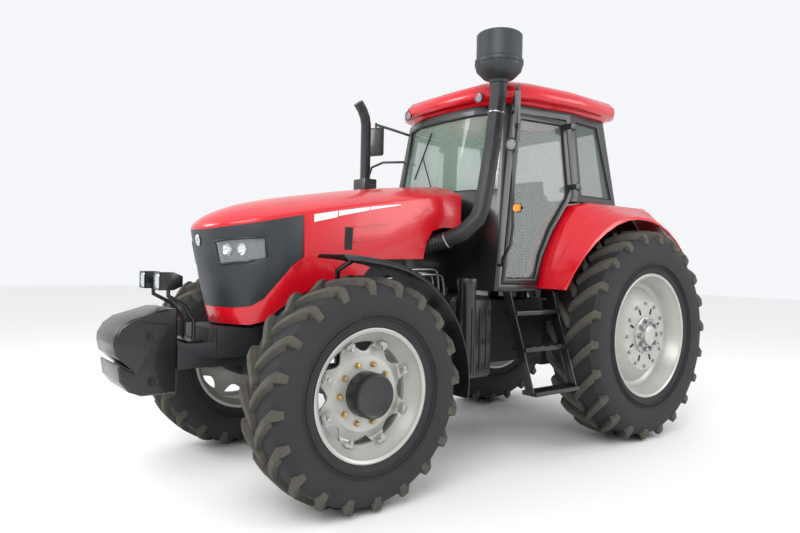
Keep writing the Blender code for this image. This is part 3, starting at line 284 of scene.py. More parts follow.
def bar(route, radius, name="bar", sides=6, smooth=True):
    """A round bar along a route of points, its bends eased by a spline, with closed ends."""
    curve = bpy.data.curves.new(name, "CURVE")
    curve.dimensions = "3D"
    curve.bevel_depth = radius
    curve.bevel_resolution = sides
    curve.use_fill_caps = True
    curve.resolution_u = 8
    spline = curve.splines.new("NURBS" if smooth and len(route) > 2 else "POLY")
    spline.points.add(len(route) - 1)
    for spot, point in zip(spline.points, route):
        spot.co = (*point, 1)
    if spline.type == "NURBS":
        spline.order_u = 3
        spline.use_endpoint_u = True
    return baked(object_from(curve, name), name)


def baked(obj, name):
    """The evaluated mesh as a plain object, its doubles merged and its faces pointing outwards."""
    bpy.context.view_layer.update()
    mesh = bpy.data.meshes.new_from_object(obj.evaluated_get(bpy.context.evaluated_depsgraph_get()))
    mesh.transform(obj.matrix_world)
    bm = bmesh.new()
    bm.from_mesh(mesh)
    bmesh.ops.remove_doubles(bm, verts=bm.verts, dist=1e-5)
    bmesh.ops.recalc_face_normals(bm, faces=bm.faces)
    bm.to_mesh(mesh)
    bm.free()
    bpy.data.objects.remove(obj, do_unlink=True)
    return object_from(mesh, name)


def block(size, soft=0.004, name="block"):
    """A block about the origin with its edges rounded off."""
    bm = bmesh.new()
    bmesh.ops.create_cube(bm, size=1)
    bmesh.ops.scale(bm, verts=bm.verts, vec=size)
    bmesh.ops.bevel(bm, geom=bm.edges, offset=soft, segments=2, affect="EDGES")
    return object_from(mesh_from(bm, name), name)


def plate(outline, thickness, name="plate", soft=0.0015):
    """An outline in the YZ plane, given a thickness along X from 0 outwards."""
    bm = bmesh.new()
    face = bm.faces.new([bm.verts.new((0, y, z)) for y, z in outline])
    pushed = bmesh.ops.extrude_face_region(bm, geom=[face])["geom"]
    bmesh.ops.translate(bm, vec=(thickness, 0, 0),
                        verts=[v for v in pushed if isinstance(v, bmesh.types.BMVert)])
    bmesh.ops.recalc_face_normals(bm, faces=bm.faces)
    if soft:
        rims = [edge for edge in bm.edges if edge.calc_face_angle(0) > 0.6]
        bmesh.ops.bevel(bm, geom=rims, offset=soft, segments=2, affect="EDGES")
    return object_from(mesh_from(bm, name), name)


def moved(obj, place=(0, 0, 0), turn=None, axis="Z"):
    """Turns a piece about the origin and moves it, in its mesh."""
    if turn:
        obj.data.transform(Matrix.Rotation(turn, 4, axis))
    obj.data.transform(Matrix.Translation(place))
    return obj


def aimed(obj, start, direction):
    """Moves a piece made along X so that it starts at a point and runs in a direction."""
    turn = Vector((1, 0, 0)).rotation_difference(Vector(direction))
    obj.data.transform(Matrix.Translation(start) @ turn.to_matrix().to_4x4())
    return obj


def joined(pieces, name):
    """Several plain pieces as one mesh."""
    bm = bmesh.new()
    for one in pieces:
        bm.from_mesh(one.data)
        bpy.data.objects.remove(one, do_unlink=True)
    return object_from(mesh_from(bm, name, False), name)


def dress(obj, name, body, finish, sharp_degrees=32):
    """Names a piece, gives it its finish and hangs it on its body."""
    obj.name = name
    obj.data.name = name
    if not obj.data.materials:
        obj.data.materials.append(finish)
    obj.data.shade_smooth()
    obj.data.set_sharp_from_angle(angle=math.radians(sharp_degrees))
    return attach(obj, body)


# %% [markdown]
# ### Patterns that repeat
# Lugs, nuts, fins and splines repeat, and Geometry Nodes repeat them. One tree turns copies of a part round the
# X axis, and another steps copies along a line. Both take the part, the count and the spacing as named
# inputs, and end by making the copies real and setting their finish.


# %% Two trees that repeat a part
def new_tree(name, inputs):
    tree = bpy.data.node_groups.new(name, "GeometryNodeTree")
    tree.interface.new_socket("Geometry", in_out="INPUT", socket_type="NodeSocketGeometry")
    tree.interface.new_socket("Geometry", in_out="OUTPUT", socket_type="NodeSocketGeometry")
    for socket, kind in inputs.items():
        tree.interface.new_socket(socket, in_out="INPUT", socket_type=kind)
    return tree, tree.nodes.new("NodeGroupInput"), tree.nodes.new("NodeGroupOutput")


def end_tree(tree, geometry, given, result):
    real = add_node(tree, "GeometryNodeRealizeInstances", {"Geometry": geometry})
    coloured = add_node(tree, "GeometryNodeSetMaterial",
                        {"Geometry": real.outputs[0], "Material": given.outputs["Finish"]})
    tree.links.new(coloured.outputs[0], result.inputs[0])


ring_tree, given, result = new_tree("copies_round_an_axle", {
    "Part": "NodeSocketObject", "Count": "NodeSocketInt", "Phase": "NodeSocketFloat",
    "Finish": "NodeSocketMaterial"})
index = add_node(ring_tree, "GeometryNodeInputIndex").outputs[0]
pitch = add_node(ring_tree, "ShaderNodeMath", {0: 2 * math.pi, 1: given.outputs["Count"]},
                 operation="DIVIDE").outputs[0]
turn = add_node(ring_tree, "ShaderNodeMath", {0: index, 1: pitch, 2: given.outputs["Phase"]},
                operation="MULTIPLY_ADD").outputs[0]
spots = add_node(ring_tree, "GeometryNodePoints", {"Count": given.outputs["Count"]})
part = add_node(ring_tree, "GeometryNodeObjectInfo", {"Object": given.outputs["Part"]})
spin = add_node(ring_tree, "ShaderNodeCombineXYZ", {"X": turn})
copies = add_node(ring_tree, "GeometryNodeInstanceOnPoints", {
    "Points": spots.outputs[0], "Instance": part.outputs["Geometry"], "Rotation": spin.outputs[0]})
end_tree(ring_tree, copies.outputs[0], given, result)

row_tree, given, result = new_tree("copies_in_a_row", {
    "Part": "NodeSocketObject", "Count": "NodeSocketInt", "Step": "NodeSocketVector",
    "Finish": "NodeSocketMaterial"})
index = add_node(row_tree, "GeometryNodeInputIndex").outputs[0]
offset = add_node(row_tree, "ShaderNodeVectorMath", {0: given.outputs["Step"], "Scale": index},
                  operation="SCALE").outputs[0]
spots = add_node(row_tree, "GeometryNodePoints", {"Count": given.outputs["Count"], "Position": offset})
part = add_node(row_tree, "GeometryNodeObjectInfo", {"Object": given.outputs["Part"]})
copies = add_node(row_tree, "GeometryNodeInstanceOnPoints",
                  {"Points": spots.outputs[0], "Instance": part.outputs["Geometry"]})
end_tree(row_tree, copies.outputs[0], given, result)


def repeated(tree, part, name, **values):
    """Runs a tree that repeats a part, and returns the result as one plain mesh."""
    carrier = object_from(bpy.data.meshes.new(name), name)
    modifier = carrier.modifiers.new("repeat", "NODES")
    modifier.node_group = tree
    values["Part"] = part
    for item in tree.interface.items_tree:
        if item.item_type == "SOCKET" and item.in_out == "INPUT" and item.name in values:
            modifier[item.identifier] = values[item.name]
    bpy.context.view_layer.update()
    mesh = bpy.data.meshes.new_from_object(carrier.evaluated_get(bpy.context.evaluated_depsgraph_get()))
    bpy.data.objects.remove(carrier, do_unlink=True)
    bpy.data.objects.remove(part, do_unlink=True)
    return object_from(mesh, name)


def ring_of(part, count, finish, name, phase=0.0):
    return repeated(ring_tree, part, name, Count=count, Phase=phase, Finish=finish)


def row_of(part, count, step, finish, name):
    return repeated(row_tree, part, name, Count=count, Step=step, Finish=finish)


def hexagon_bolt(across, height, name="bolt"):
    """A bolt head standing along X, with its washer."""
    washer = turned([(0, 0), (0, across * 0.72), (height * 0.2, across * 0.72), (height * 0.2, 0)], 16)
    head = turned([(height * 0.2, 0), (height * 0.2, across * 0.56), (height * 0.9, across * 0.56),
                   (height, across * 0.46), (height, 0)], 6)
    return joined([washer, head], name)


print("trees", [tree.name for tree in bpy.data.node_groups])

# %% [markdown]
# ## Tyres
# A farm tyre is a smooth carcass with tall slanting lugs, laid alternately from the left and the right of the
# centre line, so that they meet in a V. The carcass is a turned profile. One lug is swept from the centre,
# over the shoulder and a little way down the side wall, and the ring tree repeats it. The right-hand row is
# the mirror image, half a pitch further round.


# %% Carcass and lugs
LUGS = {"front": 20, "rear": 22}
LUG_HEIGHT = {"front": 0.034, "rear": 0.042}
RIM_RADIUS = {kind: (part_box(f"rim_{kind}_left")[1].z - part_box(f"rim_{kind}_left")[0].z) / 2 for kind in LUGS}


def carcass_profile(outer, half, rim, lug):
    """Half of the tyre's outline, from the crown to the bead, then back inside."""
    crown = outer - lug
    wall = rim + 0.5 * (crown - rim)
    outside = [
        (0.0, crown),
        (0.45 * half, crown - 0.003),
        (0.78 * half, crown - 0.016),
        (0.93 * half, crown - 0.050),
        (0.985 * half, wall + 0.060),
        (0.985 * half, wall),
        (0.95 * half, wall - 0.050),
        (0.90 * half, rim + 0.040),
        (0.86 * half, rim + 0.012),
        (0.80 * half, rim + 0.004),
        (0.76 * half, rim - 0.014),
    ]
    inside = [(0.70 * half, rim - 0.014), (0.70 * half, rim + 0.06), (0.0, rim + 0.09)]
    half_turn = outside + inside
    return half_turn[::-1] + [(-x, radius) for x, radius in half_turn[1:-1]]


def lug_mesh(outer, half, lug, slant, width, side):
    """One lug: sections from the centre line over the shoulder, each a trapezium across the bar."""
    path = [(-0.02, 0.0), (0.25, 0.0), (0.55, 0.002), (0.80, 0.010), (0.93, 0.028), (0.990, 0.062),
            (0.999, 0.105)]
    bm = bmesh.new()
    rows = []
    for share, drop in path:
        along = share * half
        middle = slant * min(share, 0.93) ** 0.85 if share > 0 else slant * share
        top = outer - drop
        depth = (lug + 0.012) * (1 - 0.55 * max(0.0, (share - 0.93) / 0.07))
        lean = min(1.0, max(0.0, (share - 0.80) / 0.19))
        foot_x = along - lean * (0.030 + lug * 0.6)
        foot_radius = top - depth * (1 - 0.55 * lean)
        row = []
        for x, radius, reach in ((foot_x, foot_radius, -0.80), (along, top, -0.50), (along, top, 0.50),
                                 (foot_x, foot_radius, 0.80)):
            angle = middle + reach * width / outer
            row.append(bm.verts.new((side * x, -radius * math.cos(angle), radius * math.sin(angle))))
        rows.append(row)
    for first, second in zip(rows, rows[1:]):
        for i in range(4):
            j = (i + 1) % 4
            bm.faces.new((first[i], first[j], second[j], second[i]))
    bm.faces.new(rows[0])
    bm.faces.new(rows[-1])
    bmesh.ops.recalc_face_normals(bm, faces=bm.faces)
    long_edges = [edge for edge in bm.edges if edge.calc_face_angle(0) > 0.5]
    bmesh.ops.bevel(bm, geom=long_edges, offset=0.004, segments=1, affect="EDGES")
    return object_from(mesh_from(bm, "lug"), "lug")


def tyre(kind, word):
    low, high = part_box(f"tyre_{kind}_{word}")
    centre, outer, half = (low + high) / 2, (high.z - low.z) / 2, (high.x - low.x) / 2
    lug, count = LUG_HEIGHT[kind], LUGS[kind]
    carcass = turned(carcass_profile(outer, half, RIM_RADIUS[kind], lug), 120)
    carcass.data.materials.append(tyre_rubber)
    body = f"wheel_{kind}_{word}"
    slant, width = 0.80 * half / outer * 1.25, 0.050 if kind == "front" else 0.058
    rows = [ring_of(lug_mesh(outer, half, lug, slant, width, side), count, tread_rubber, "lugs",
                    phase=(0 if side > 0 else math.pi / count)) for side in (1, -1)]
    beads = [turned([(side * 0.955 * half, wall), (side * 0.995 * half, wall + 0.004),
                     (side * 0.955 * half, wall + 0.010)], 120)
             for side in (1, -1) for wall in (RIM_RADIUS[kind] + 0.075, RIM_RADIUS[kind] + 0.055)]
    lugs = moved(joined(rows, "lugs"), centre)
    lugs.data.materials.append(tread_rubber)
    dress(lugs, f"tread_{kind}_{word}", body, tread_rubber, 25)
    rings = joined(beads, "beads")
    rings.data.materials.append(tyre_rubber)
    whole = moved(joined([carcass, rings], "carcass"), centre)
    whole.data.materials.append(tyre_rubber)
    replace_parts(dress(whole, f"carcass_{kind}_{word}", body, tyre_rubber),
                f"tyre_{kind}_{word}")
    return centre


for kind in LUGS:
    for word in SIDES:
        print("tyre", kind, word, [round(value, 3) for value in tyre(kind, word)])

# %% [markdown]
# ## Wheels
# Each wheel is a rolled rim with a dished centre of pressed plate. The front centre bolts to eight lugs inside
# the rim, and between the lugs its edge is scalloped, which leaves eight long openings. They are cut right
# through with a boolean, so that one sees past the wheel. The rear centre is a deep drum with a ring of bolts
# and a cluster of nuts round the axle. The rims are turned profiles.


# %% Rim profiles
def rim_profile(rim, half, disc, drum, face):
    """A closed profile from the outer flange, through the well, to the dish and back."""
    wall = 0.010
    return [
        (half, rim + 0.012),
        (half + 0.004, rim + 0.004),
        (half - 0.004, rim - 0.012),
        (half - 0.030, rim - 0.020),
        (half - 0.070, rim - 0.052),
        (disc + 0.030, rim - 0.060),
        (disc + 0.012, rim - 0.075),
        (disc, rim - 0.100),
        (face - 0.010, drum + 0.008),
        (face, drum - 0.006),
        (face, 0.0),
        (face - 0.020, 0.0),
        (face - 0.020, drum - 0.016),
        (disc - wall, rim - 0.096),
        (disc - 0.020, rim - 0.052),
        (-half + 0.070, rim - 0.048),
        (-half + 0.030, rim - 0.016),
        (-half, rim - 0.008),
        (-half, rim + 0.012),
        (-half + 0.012, rim + 0.002),
        (-half + 0.040, rim - 0.006),
        (-half + 0.080, rim - 0.034),
        (half - 0.080, rim - 0.040),
        (half - 0.036, rim - 0.008),
        (half - 0.012, rim + 0.002),
    ]


WHEEL_SHAPE = {
    "front": {"disc": 0.050, "drum": 0.225, "face": 0.078},
    "rear": {"disc": 0.040, "drum": 0.295, "face": 0.142},
}


def bolts_on(radius, along, count, across, height, finish, phase=0.0):
    head = moved(hexagon_bolt(across, height), (along, radius, 0))
    return ring_of(head, count, finish, "bolts", phase)


DRUM_BOLT_CIRCLE = 0.262
REAR_NUT_CIRCLE = 0.120
FRONT_NUT_CIRCLE = 0.174
# Radius of the drum's slots, which are drawn as black blocks of painted shade.
SLOT_CIRCLE = 0.205
OPENINGS = 8
OPENING_OUTER = 0.300
OPENING_INNER = 0.243
OPENING_HALF_TURN = math.radians(15)


def opening_cutters(depth):
    """Eight lens-shaped bars along X: the outer edge follows the rim, and the inner edge bulges to the hub."""
    outline = []
    steps = 10
    for edge, sign in ((0, 1), (1, -1)):
        for step in range(steps + 1 - edge * 2):
            share = sign * (2 * (step + edge) / steps - 1)
            reach = OPENING_OUTER - edge * (OPENING_OUTER - OPENING_INNER) * (1 - share ** 2)
            turn = share * OPENING_HALF_TURN
            outline.append((reach * math.cos(turn), reach * math.sin(turn)))
    bars = []
    for index in range(OPENINGS):
        bars.append(moved(plate(outline, depth, soft=0), turn=index * math.tau / OPENINGS, axis="X"))
    return joined(bars, "opening_cutters")


def pierced(wheel, depth):
    """The wheel with its openings cut through."""
    cutters = moved(opening_cutters(depth), (-depth * 0.35, 0, 0))
    cut = wheel.modifiers.new("openings", "BOOLEAN")
    cut.operation = "DIFFERENCE"
    cut.solver = "MANIFOLD"
    cut.object = cutters
    result = baked(wheel, "pierced_wheel")
    result.data.materials.clear()
    bpy.data.objects.remove(cutters, do_unlink=True)
    return result


def at_wheel(obj, centre, side):
    """Places a piece made for the left wheel, turned round for the right one."""
    return moved(obj, centre, 0 if side > 0 else math.pi)


for kind, shape in WHEEL_SHAPE.items():
    for word, side in SIDES.items():
        low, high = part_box(f"rim_{kind}_{word}")
        centre, half = (low + high) / 2, (high.x - low.x) / 2
        body = f"wheel_{kind}_{word}"
        rim_piece = turned(rim_profile(RIM_RADIUS[kind] - 0.006, half - 0.002, **shape), 120)
        if kind == "front":
            before = len(rim_piece.data.polygons)
            rim_piece = pierced(rim_piece, 0.16)
            print("front wheel faces", before, "to", len(rim_piece.data.polygons))

        def fit(obj, name, finish=zinc_plate):
            return dress(at_wheel(obj, centre, side), name, body, finish)

        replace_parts(fit(rim_piece, f"wheel_dish_{kind}_{word}", wheel_silver), f"rim_{kind}_{word}")
        if kind == "front":
            lug = moved(block((0.050, 0.030, 0.060), 0.008),
                        (shape["disc"] + 0.030, RIM_RADIUS["front"] - 0.082, 0))
            lugs = ring_of(lug, 8, wheel_silver, "rim_lugs", math.pi / 8)
            fit(lugs, f"rim_lugs_{word}", wheel_silver)
            heads = bolts_on(RIM_RADIUS["front"] - 0.100, shape["disc"] + 0.052, 8, 0.024, 0.016, zinc_plate,
                             math.pi / 8)
            fit(heads, f"rim_lug_bolts_{word}")
        else:
            fit(bolts_on(DRUM_BOLT_CIRCLE, shape["face"], 12, 0.024, 0.018, zinc_plate), f"drum_bolts_{word}")
            fit(bolts_on(REAR_NUT_CIRCLE, shape["face"] + 0.020, 10, 0.034, 0.034, zinc_plate),
                f"rear_wheel_nuts_{word}")
            hub_plate = turned([(shape["face"], 0), (shape["face"], 0.155), (shape["face"] + 0.014, 0.152),
                                (shape["face"] + 0.020, 0.140), (shape["face"] + 0.020, 0.085),
                                (shape["face"] + 0.050, 0.080), (shape["face"] + 0.056, 0.070),
                                (shape["face"] + 0.056, 0)], 72)
            fit(hub_plate, f"rear_hub_plate_{word}", wheel_silver)
            # The drum's slots are black blocks of painted shade, standing in for their dark openings.
            slot_shade_blocks = ring_of(moved(block((0.006, 0.050, 0.018), 0.002),
                                         (shape["face"] + 0.002, SLOT_CIRCLE, 0)), 8,
                                   seal_rubber, "slots", math.pi / 8)
            fit(slot_shade_blocks, f"drum_slots_{word}", seal_rubber)
print("wheel centres dressed")

# %% [markdown]
# ### Front hubs
# The front hub is a plain black reduction housing. Round it ten yellow-passivated nuts hold the wheel's centre.

# %% Front hub
for word, side in SIDES.items():
    low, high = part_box(f"hub_front_{word}")
    wheel_low, wheel_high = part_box(f"rim_front_{word}")
    centre = (wheel_low + wheel_high) / 2
    reach = (high.x - centre.x) if side > 0 else (centre.x - low.x)
    body = f"wheel_front_{word}"
    flange = WHEEL_SHAPE["front"]["face"]
    hub = turned([(-0.02, 0), (-0.02, 0.124), (flange, 0.132), (flange + 0.020, 0.133),
                  (reach - 0.022, 0.131),
                  (reach - 0.006, 0.124), (reach, 0.114), (reach - 0.003, 0.108), (reach - 0.003, 0)], 72)
    hub_piece = at_wheel(hub, centre, side)
    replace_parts(dress(hub_piece, f"reduction_hub_{word}", body, black_powder),
                f"hub_front_{word}")
    nuts = bolts_on(FRONT_NUT_CIRCLE, flange, 10, 0.026, 0.026, yellow_zinc)
    dress(at_wheel(nuts, centre, side), f"front_wheel_nuts_{word}", body, yellow_zinc)

# %% [markdown]
# ## Sheet metal and castings that keep their CAD shape
# The hood, roof, fenders, brackets and castings already have the right shape, as flat facets. Each is copied,
# its facets are merged, its folds get a narrow rounded edge that catches light as pressed steel does, and
# the rest is shaded smooth. The copy then stands for the CAD piece.

# %% Recast a CAD piece
BODY_OF = {node: body for body, nodes in frame["record"]["behaviour"]["bodies"].items() for node in nodes}


def recast(node, finish, fold=0.004, sharp_degrees=30, name=None):
    """A copy of a CAD piece with merged facets and softened folds, which replaces it."""
    bm = bmesh.new()
    bm.from_mesh(frame["nodes"][node].data)
    bmesh.ops.remove_doubles(bm, verts=bm.verts, dist=2e-5)
    bmesh.ops.dissolve_limit(bm, angle_limit=math.radians(1.0), verts=bm.verts, edges=bm.edges)
    mesh = bpy.data.meshes.new(node)
    bm.to_mesh(mesh)
    bm.free()
    mesh.materials.clear()
    copy = object_from(mesh, node + "_copy")
    if fold:
        edge = copy.modifiers.new("fold", "BEVEL")
        edge.width = fold
        edge.segments = 2
        edge.limit_method = "ANGLE"
        edge.angle_limit = math.radians(38)
        bpy.context.view_layer.update()
        shaped = bpy.data.meshes.new_from_object(copy.evaluated_get(bpy.context.evaluated_depsgraph_get()))
        bpy.data.objects.remove(copy, do_unlink=True)
        copy = object_from(shaped, node + "_copy")
    dressed = dress(copy, name or f"{node}_skin", BODY_OF[node], finish, sharp_degrees)
    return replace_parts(dressed, node)


RECAST = {
    red_enamel: (("hood", 0.004), ("cab_roof", 0.010), ("fender_left", 0.003), ("fender_right", 0.003)),
    mask_plastic: (("hood_mask", 0.002), ("pre_cleaner", 0.004)),
    grey_plastic: (("dashboard", 0.006),),
    black_powder: (("cab_frame", 0.004), ("door_left", 0.003), ("door_right", 0.003), ("steps_left", 0.002),
                   ("steps_right", 0.002), ("grab_rail_left", 0), ("grab_rail_right", 0),
                   ("mudguard_left", 0.001),
                   ("mudguard_right", 0.001), ("exhaust_stack", 0.003), ("battery_box", 0.004),
                   ("fuel_tank", 0.004),
                   ("front_weights", 0.004), ("work_lamps", 0.002), ("mirror_left", 0.002),
                   ("mirror_right", 0.002),
                   ("lift_arms", 0.002), ("lower_link_left", 0.002), ("lower_link_right", 0.002),
                   ("lift_rod_left", 0.001), ("lift_rod_right", 0.001)),
    casting: (("front_frame", 0.006), ("engine_block", 0.006), ("gearbox_housing", 0.008),
              ("rear_axle_housing", 0.008),
              ("front_axle_beam", 0.006), ("knuckle_left", 0.005), ("knuckle_right", 0.005),
              ("tie_rod", 0.001),
              ("drawbar", 0.003)),
    seal_rubber: (("cab_floor", 0.003),),
    hose_rubber: (("intake_pipe", 0),),
}
skins = {}
for finish, nodes in RECAST.items():
    for node, fold in nodes:
        skins[node] = recast(node, finish, fold)
GLAZING = {screen_glass: ("windscreen", "rear_window"),
           side_glass: ("quarter_window_left", "quarter_window_right", "door_glass_left", "door_glass_right")}
for finish, nodes in GLAZING.items():
    for node in nodes:
        pane = frame["nodes"][node].data
        pane.materials.clear()
        pane.materials.append(finish)
print(len(skins), "recast pieces,", sum(len(nodes) for nodes in GLAZING.values()), "panes")

# %% [markdown]
# ## Marks on a curved skin
# Stripes, vent slots and creases follow the sheet they sit on. A patch is a small grid between four corners
# given in side view. Each of its points is shot sideways at the skin and stops just above it, so the patch
# has the skin's own curve. Rays shot at a skin also give the lamps their place and direction.

# %% Patches by ray
from mathutils.bvhtree import BVHTree


FAR_SIDE = 3
FAR_FRONT = -6


def skin_tree(obj):
    return BVHTree.FromObject(obj, bpy.context.evaluated_depsgraph_get())


def from_front(tree, x, z):
    """Where a ray shot rearwards meets a skin, and the skin's normal there."""
    return tree.ray_cast(Vector((x, FAR_FRONT, z)), Vector((0, 1, 0)))[:2]


def closed_band(points, radius, name):
    """A thin tube along a closed line of points."""
    curve = bpy.data.curves.new(name, "CURVE")
    curve.dimensions = "3D"
    curve.bevel_depth = radius
    curve.bevel_resolution = 2
    spline = curve.splines.new("POLY")
    spline.points.add(len(points) - 1)
    for spot, point in zip(spline.points, points):
        spot.co = (*point, 1)
    spline.use_cyclic_u = True
    return baked(object_from(curve, name), name)


def patch(tree, corners, side, name, lift=0.0012, thickness=0.0012, columns=10, rows=4):
    """A sheet between four side-view corners, laid on a skin that is hit from outside."""
    bm = bmesh.new()
    inward = Vector((-side, 0, 0))
    p0, p1, p2, p3 = [Vector(corner) for corner in corners]
    grid = []
    for i in range(rows + 1):
        line = []
        for j in range(columns + 1):
            u, v = j / columns, i / rows
            spot = (p0 * (1 - u) + p1 * u) * (1 - v) + (p3 * (1 - u) + p2 * u) * v
            hit = tree.ray_cast(Vector((side * FAR_SIDE, spot.x, spot.y)), inward)[0]
            line.append(bm.verts.new(hit - inward * lift))
        grid.append(line)
    for low_row, high_row in zip(grid, grid[1:]):
        for j in range(columns):
            bm.faces.new((low_row[j], low_row[j + 1], high_row[j + 1], high_row[j]))
    bm.normal_update()
    if sum(face.normal.dot(inward) for face in bm.faces) > 0:
        bmesh.ops.reverse_faces(bm, faces=bm.faces)
    sheet = object_from(mesh_from(bm, name, False), name)
    wall = sheet.modifiers.new("film", "SOLIDIFY")
    wall.thickness = thickness
    wall.offset = 1
    return baked(sheet, name)


REAR_AXLE_Y = (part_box("rim_rear_left")[0].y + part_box("rim_rear_left")[1].y) / 2


def ahead(distance):
    """Y of a point that far ahead of the rear axle."""
    return REAR_AXLE_Y - distance


hood_tree = skin_tree(skins["hood"])
mask_tree = skin_tree(skins["hood_mask"])

# %% [markdown]
# ### Hood stripes, vent and creases
# Along each side runs a tapering white stripe in three lengths. Behind it an upright vent slot is a thin black
# patch, painted shade for its dark opening, and two shallow creases run rearwards from it.

# %% Hood side
STRIPES = (
    ((2.863, 1.683), (2.691, 1.724), (2.691, 1.765), (2.863, 1.732)),
    ((2.683, 1.731), (2.439, 1.785), (2.439, 1.806), (2.683, 1.766)),
    ((2.431, 1.787), (2.180, 1.836), (2.180, 1.842), (2.431, 1.808)),
)
CREASES = (
    ((2.560, 1.563), (2.255, 1.612), (2.255, 1.616), (2.560, 1.577)),
    ((2.560, 1.667), (2.281, 1.697), (2.281, 1.700), (2.560, 1.675)),
)
SLOT = ((2.636, 1.514), (2.578, 1.516), (2.572, 1.664), (2.632, 1.662))


def in_side_view(corners):
    return [(ahead(distance), z) for distance, z in corners]


for word, side in SIDES.items():
    stripes = [patch(hood_tree, in_side_view(stripe), side, "stripe") for stripe in STRIPES]
    dress(joined(stripes, "stripes"), f"hood_stripe_{word}", "hood", white_film)
    # The vent slot is a thin black patch of painted shade, standing in for the dark opening.
    slot = patch(hood_tree, in_side_view(SLOT), side, "slot", 0.001, 0.002)
    dress(slot, f"vent_slot_{word}", "hood", seal_rubber)
    creases = [patch(hood_tree, in_side_view(crease), side, "crease", 0.0005, 0.006, 12, 3)
               for crease in CREASES]
    creased = joined(creases, "creases")
    dress(creased, f"pressed_crease_{word}", "hood", red_enamel, 80)
    rib = [((2.925, 1.735), (2.905, 1.735), (2.908, 1.455), (2.928, 1.455)),
           ((2.928, 1.460), (2.908, 1.450), (2.985, 1.385), (3.005, 1.402))]
    ribs = [patch(hood_tree, in_side_view(one), side, "rib", 0.0005, 0.008, 3, 6) for one in rib]
    dress(joined(ribs, "ribs"), f"mask_rib_{word}", "hood", red_enamel, 80)

# %% [markdown]
# ### Headlights and nose badge
# Each headlight is a clear cover over two plated reflectors in a black bezel. The bezel is a raised band that
# follows the cover's outline on the mask. The nose carries one plain round badge.


# %% Headlights
def band_on(tree, outline, width, name):
    """A raised band along a closed outline, laid on a skin from the front."""
    points = []
    for point, following in zip(outline, outline[1:] + outline[:1]):
        for share in (0.0, 0.25, 0.5, 0.75):
            u = point[0] * (1 - share) + following[0] * share
            v = point[1] * (1 - share) + following[1] * share
            points.append(from_front(tree, u, v)[0])
    return closed_band(points, width / 2, name)


BEZEL = ((0.186, 1.547), (0.30, 1.565), (0.388, 1.574), (0.386, 1.462), (0.335, 1.424), (0.192, 1.405))
BEZEL_WIDTH = 0.014

for word, side in SIDES.items():
    node = f"headlight_{word}"
    low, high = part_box(node)
    lens = frame["nodes"][node].data
    lens.materials.clear()
    lens.materials.append(clear_lens)
    inner, outer = sorted((low.x, high.x), key=abs)
    lamp_tree = skin_tree(frame["nodes"][node])
    cups = []
    for share, radius in ((0.30, 0.040), (0.68, 0.036)):
        x = inner + (outer - inner) * share
        z = low.z + (high.z - low.z) * (0.47 + 0.12 * share)
        hit, normal = from_front(lamp_tree, x, z)
        facing = (normal + Vector((0, -1.2, 0))).normalized()
        bowl = turned([(0.0, 0.010), (0.006, 0.018), (0.016, radius * 0.8), (0.024, radius), (0.028, radius),
                       (0.020, radius * 0.84), (0.0, radius * 0.30), (-0.004, 0.0), (0.0, 0.0)], 32)
        cups.append(aimed(bowl, hit - normal * 0.038, facing))
        bulb = turned([(0.0, 0.0), (0.0, 0.006), (0.018, 0.006), (0.024, 0.0)], 12)
        cups.append(aimed(bulb, hit - normal * 0.036, facing))
    dress(joined(cups, "bowls"), f"lamp_reflectors_{word}", "hood", reflector)
    bezel = band_on(mask_tree, [(side * x, z) for x, z in BEZEL], BEZEL_WIDTH, "bezel")
    dress(bezel, f"headlight_bezel_{word}", "hood", black_powder, 80)

BADGE_HEIGHT = 1.555
badge = turned([(0.0, 0.0), (0.0, 0.034), (0.004, 0.036), (0.006, 0.032), (0.004, 0.026), (0.003, 0.0)], 40)
badge_piece = aimed(badge, from_front(mask_tree, 0, BADGE_HEIGHT)[0], (0, -1, -0.15))
dress(badge_piece, "nose_badge", "hood", reflector)

# %% [markdown]
# ### Front weights and work lamps
# The weights are cast blocks on the carrier. Two recessed bolts go through them from side to side, and a slot
# takes the lifting strap; the slot is a thin black plate, painted shade for its dark inside. Above them two work
# lamps stand on bent arms, each with a plated reflector behind a clear lens and cooling fins behind that.

# %% Weights
low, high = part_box("front_weights")
for word, side in SIDES.items():
    bolts = []
    for y, z in ((ahead(3.784), 0.987), (ahead(3.768), 0.729)):
        recess = turned([(0.0, 0.0), (0.0, 0.030), (0.002, 0.032), (0.002, 0.022), (0.0008, 0.020),
                         (0.0008, 0.0)], 28)
        bolts.append(aimed(recess, (side * high.x, y, z), (side, 0, 0)))
        bolts.append(aimed(hexagon_bolt(0.020, 0.010), (side * high.x, y, z), (side, 0, 0)))
    dress(joined(bolts, "bolts"), f"weight_bolts_{word}", "chassis", casting)
    # The lifting slot is a thin black plate of painted shade, standing in for the slot's dark inside.
    slot = moved(plate([(-0.075, -0.006), (0.075, -0.006), (0.075, 0.006), (-0.075, 0.006)], 0.002),
                 (0, 0, 0), -0.12, "X")
    slot_shade_piece = moved(slot, (side * high.x if side > 0 else -high.x - 0.002, ahead(3.76), 1.062))
    dress(slot_shade_piece, f"weight_slot_{word}", "chassis", seal_rubber)

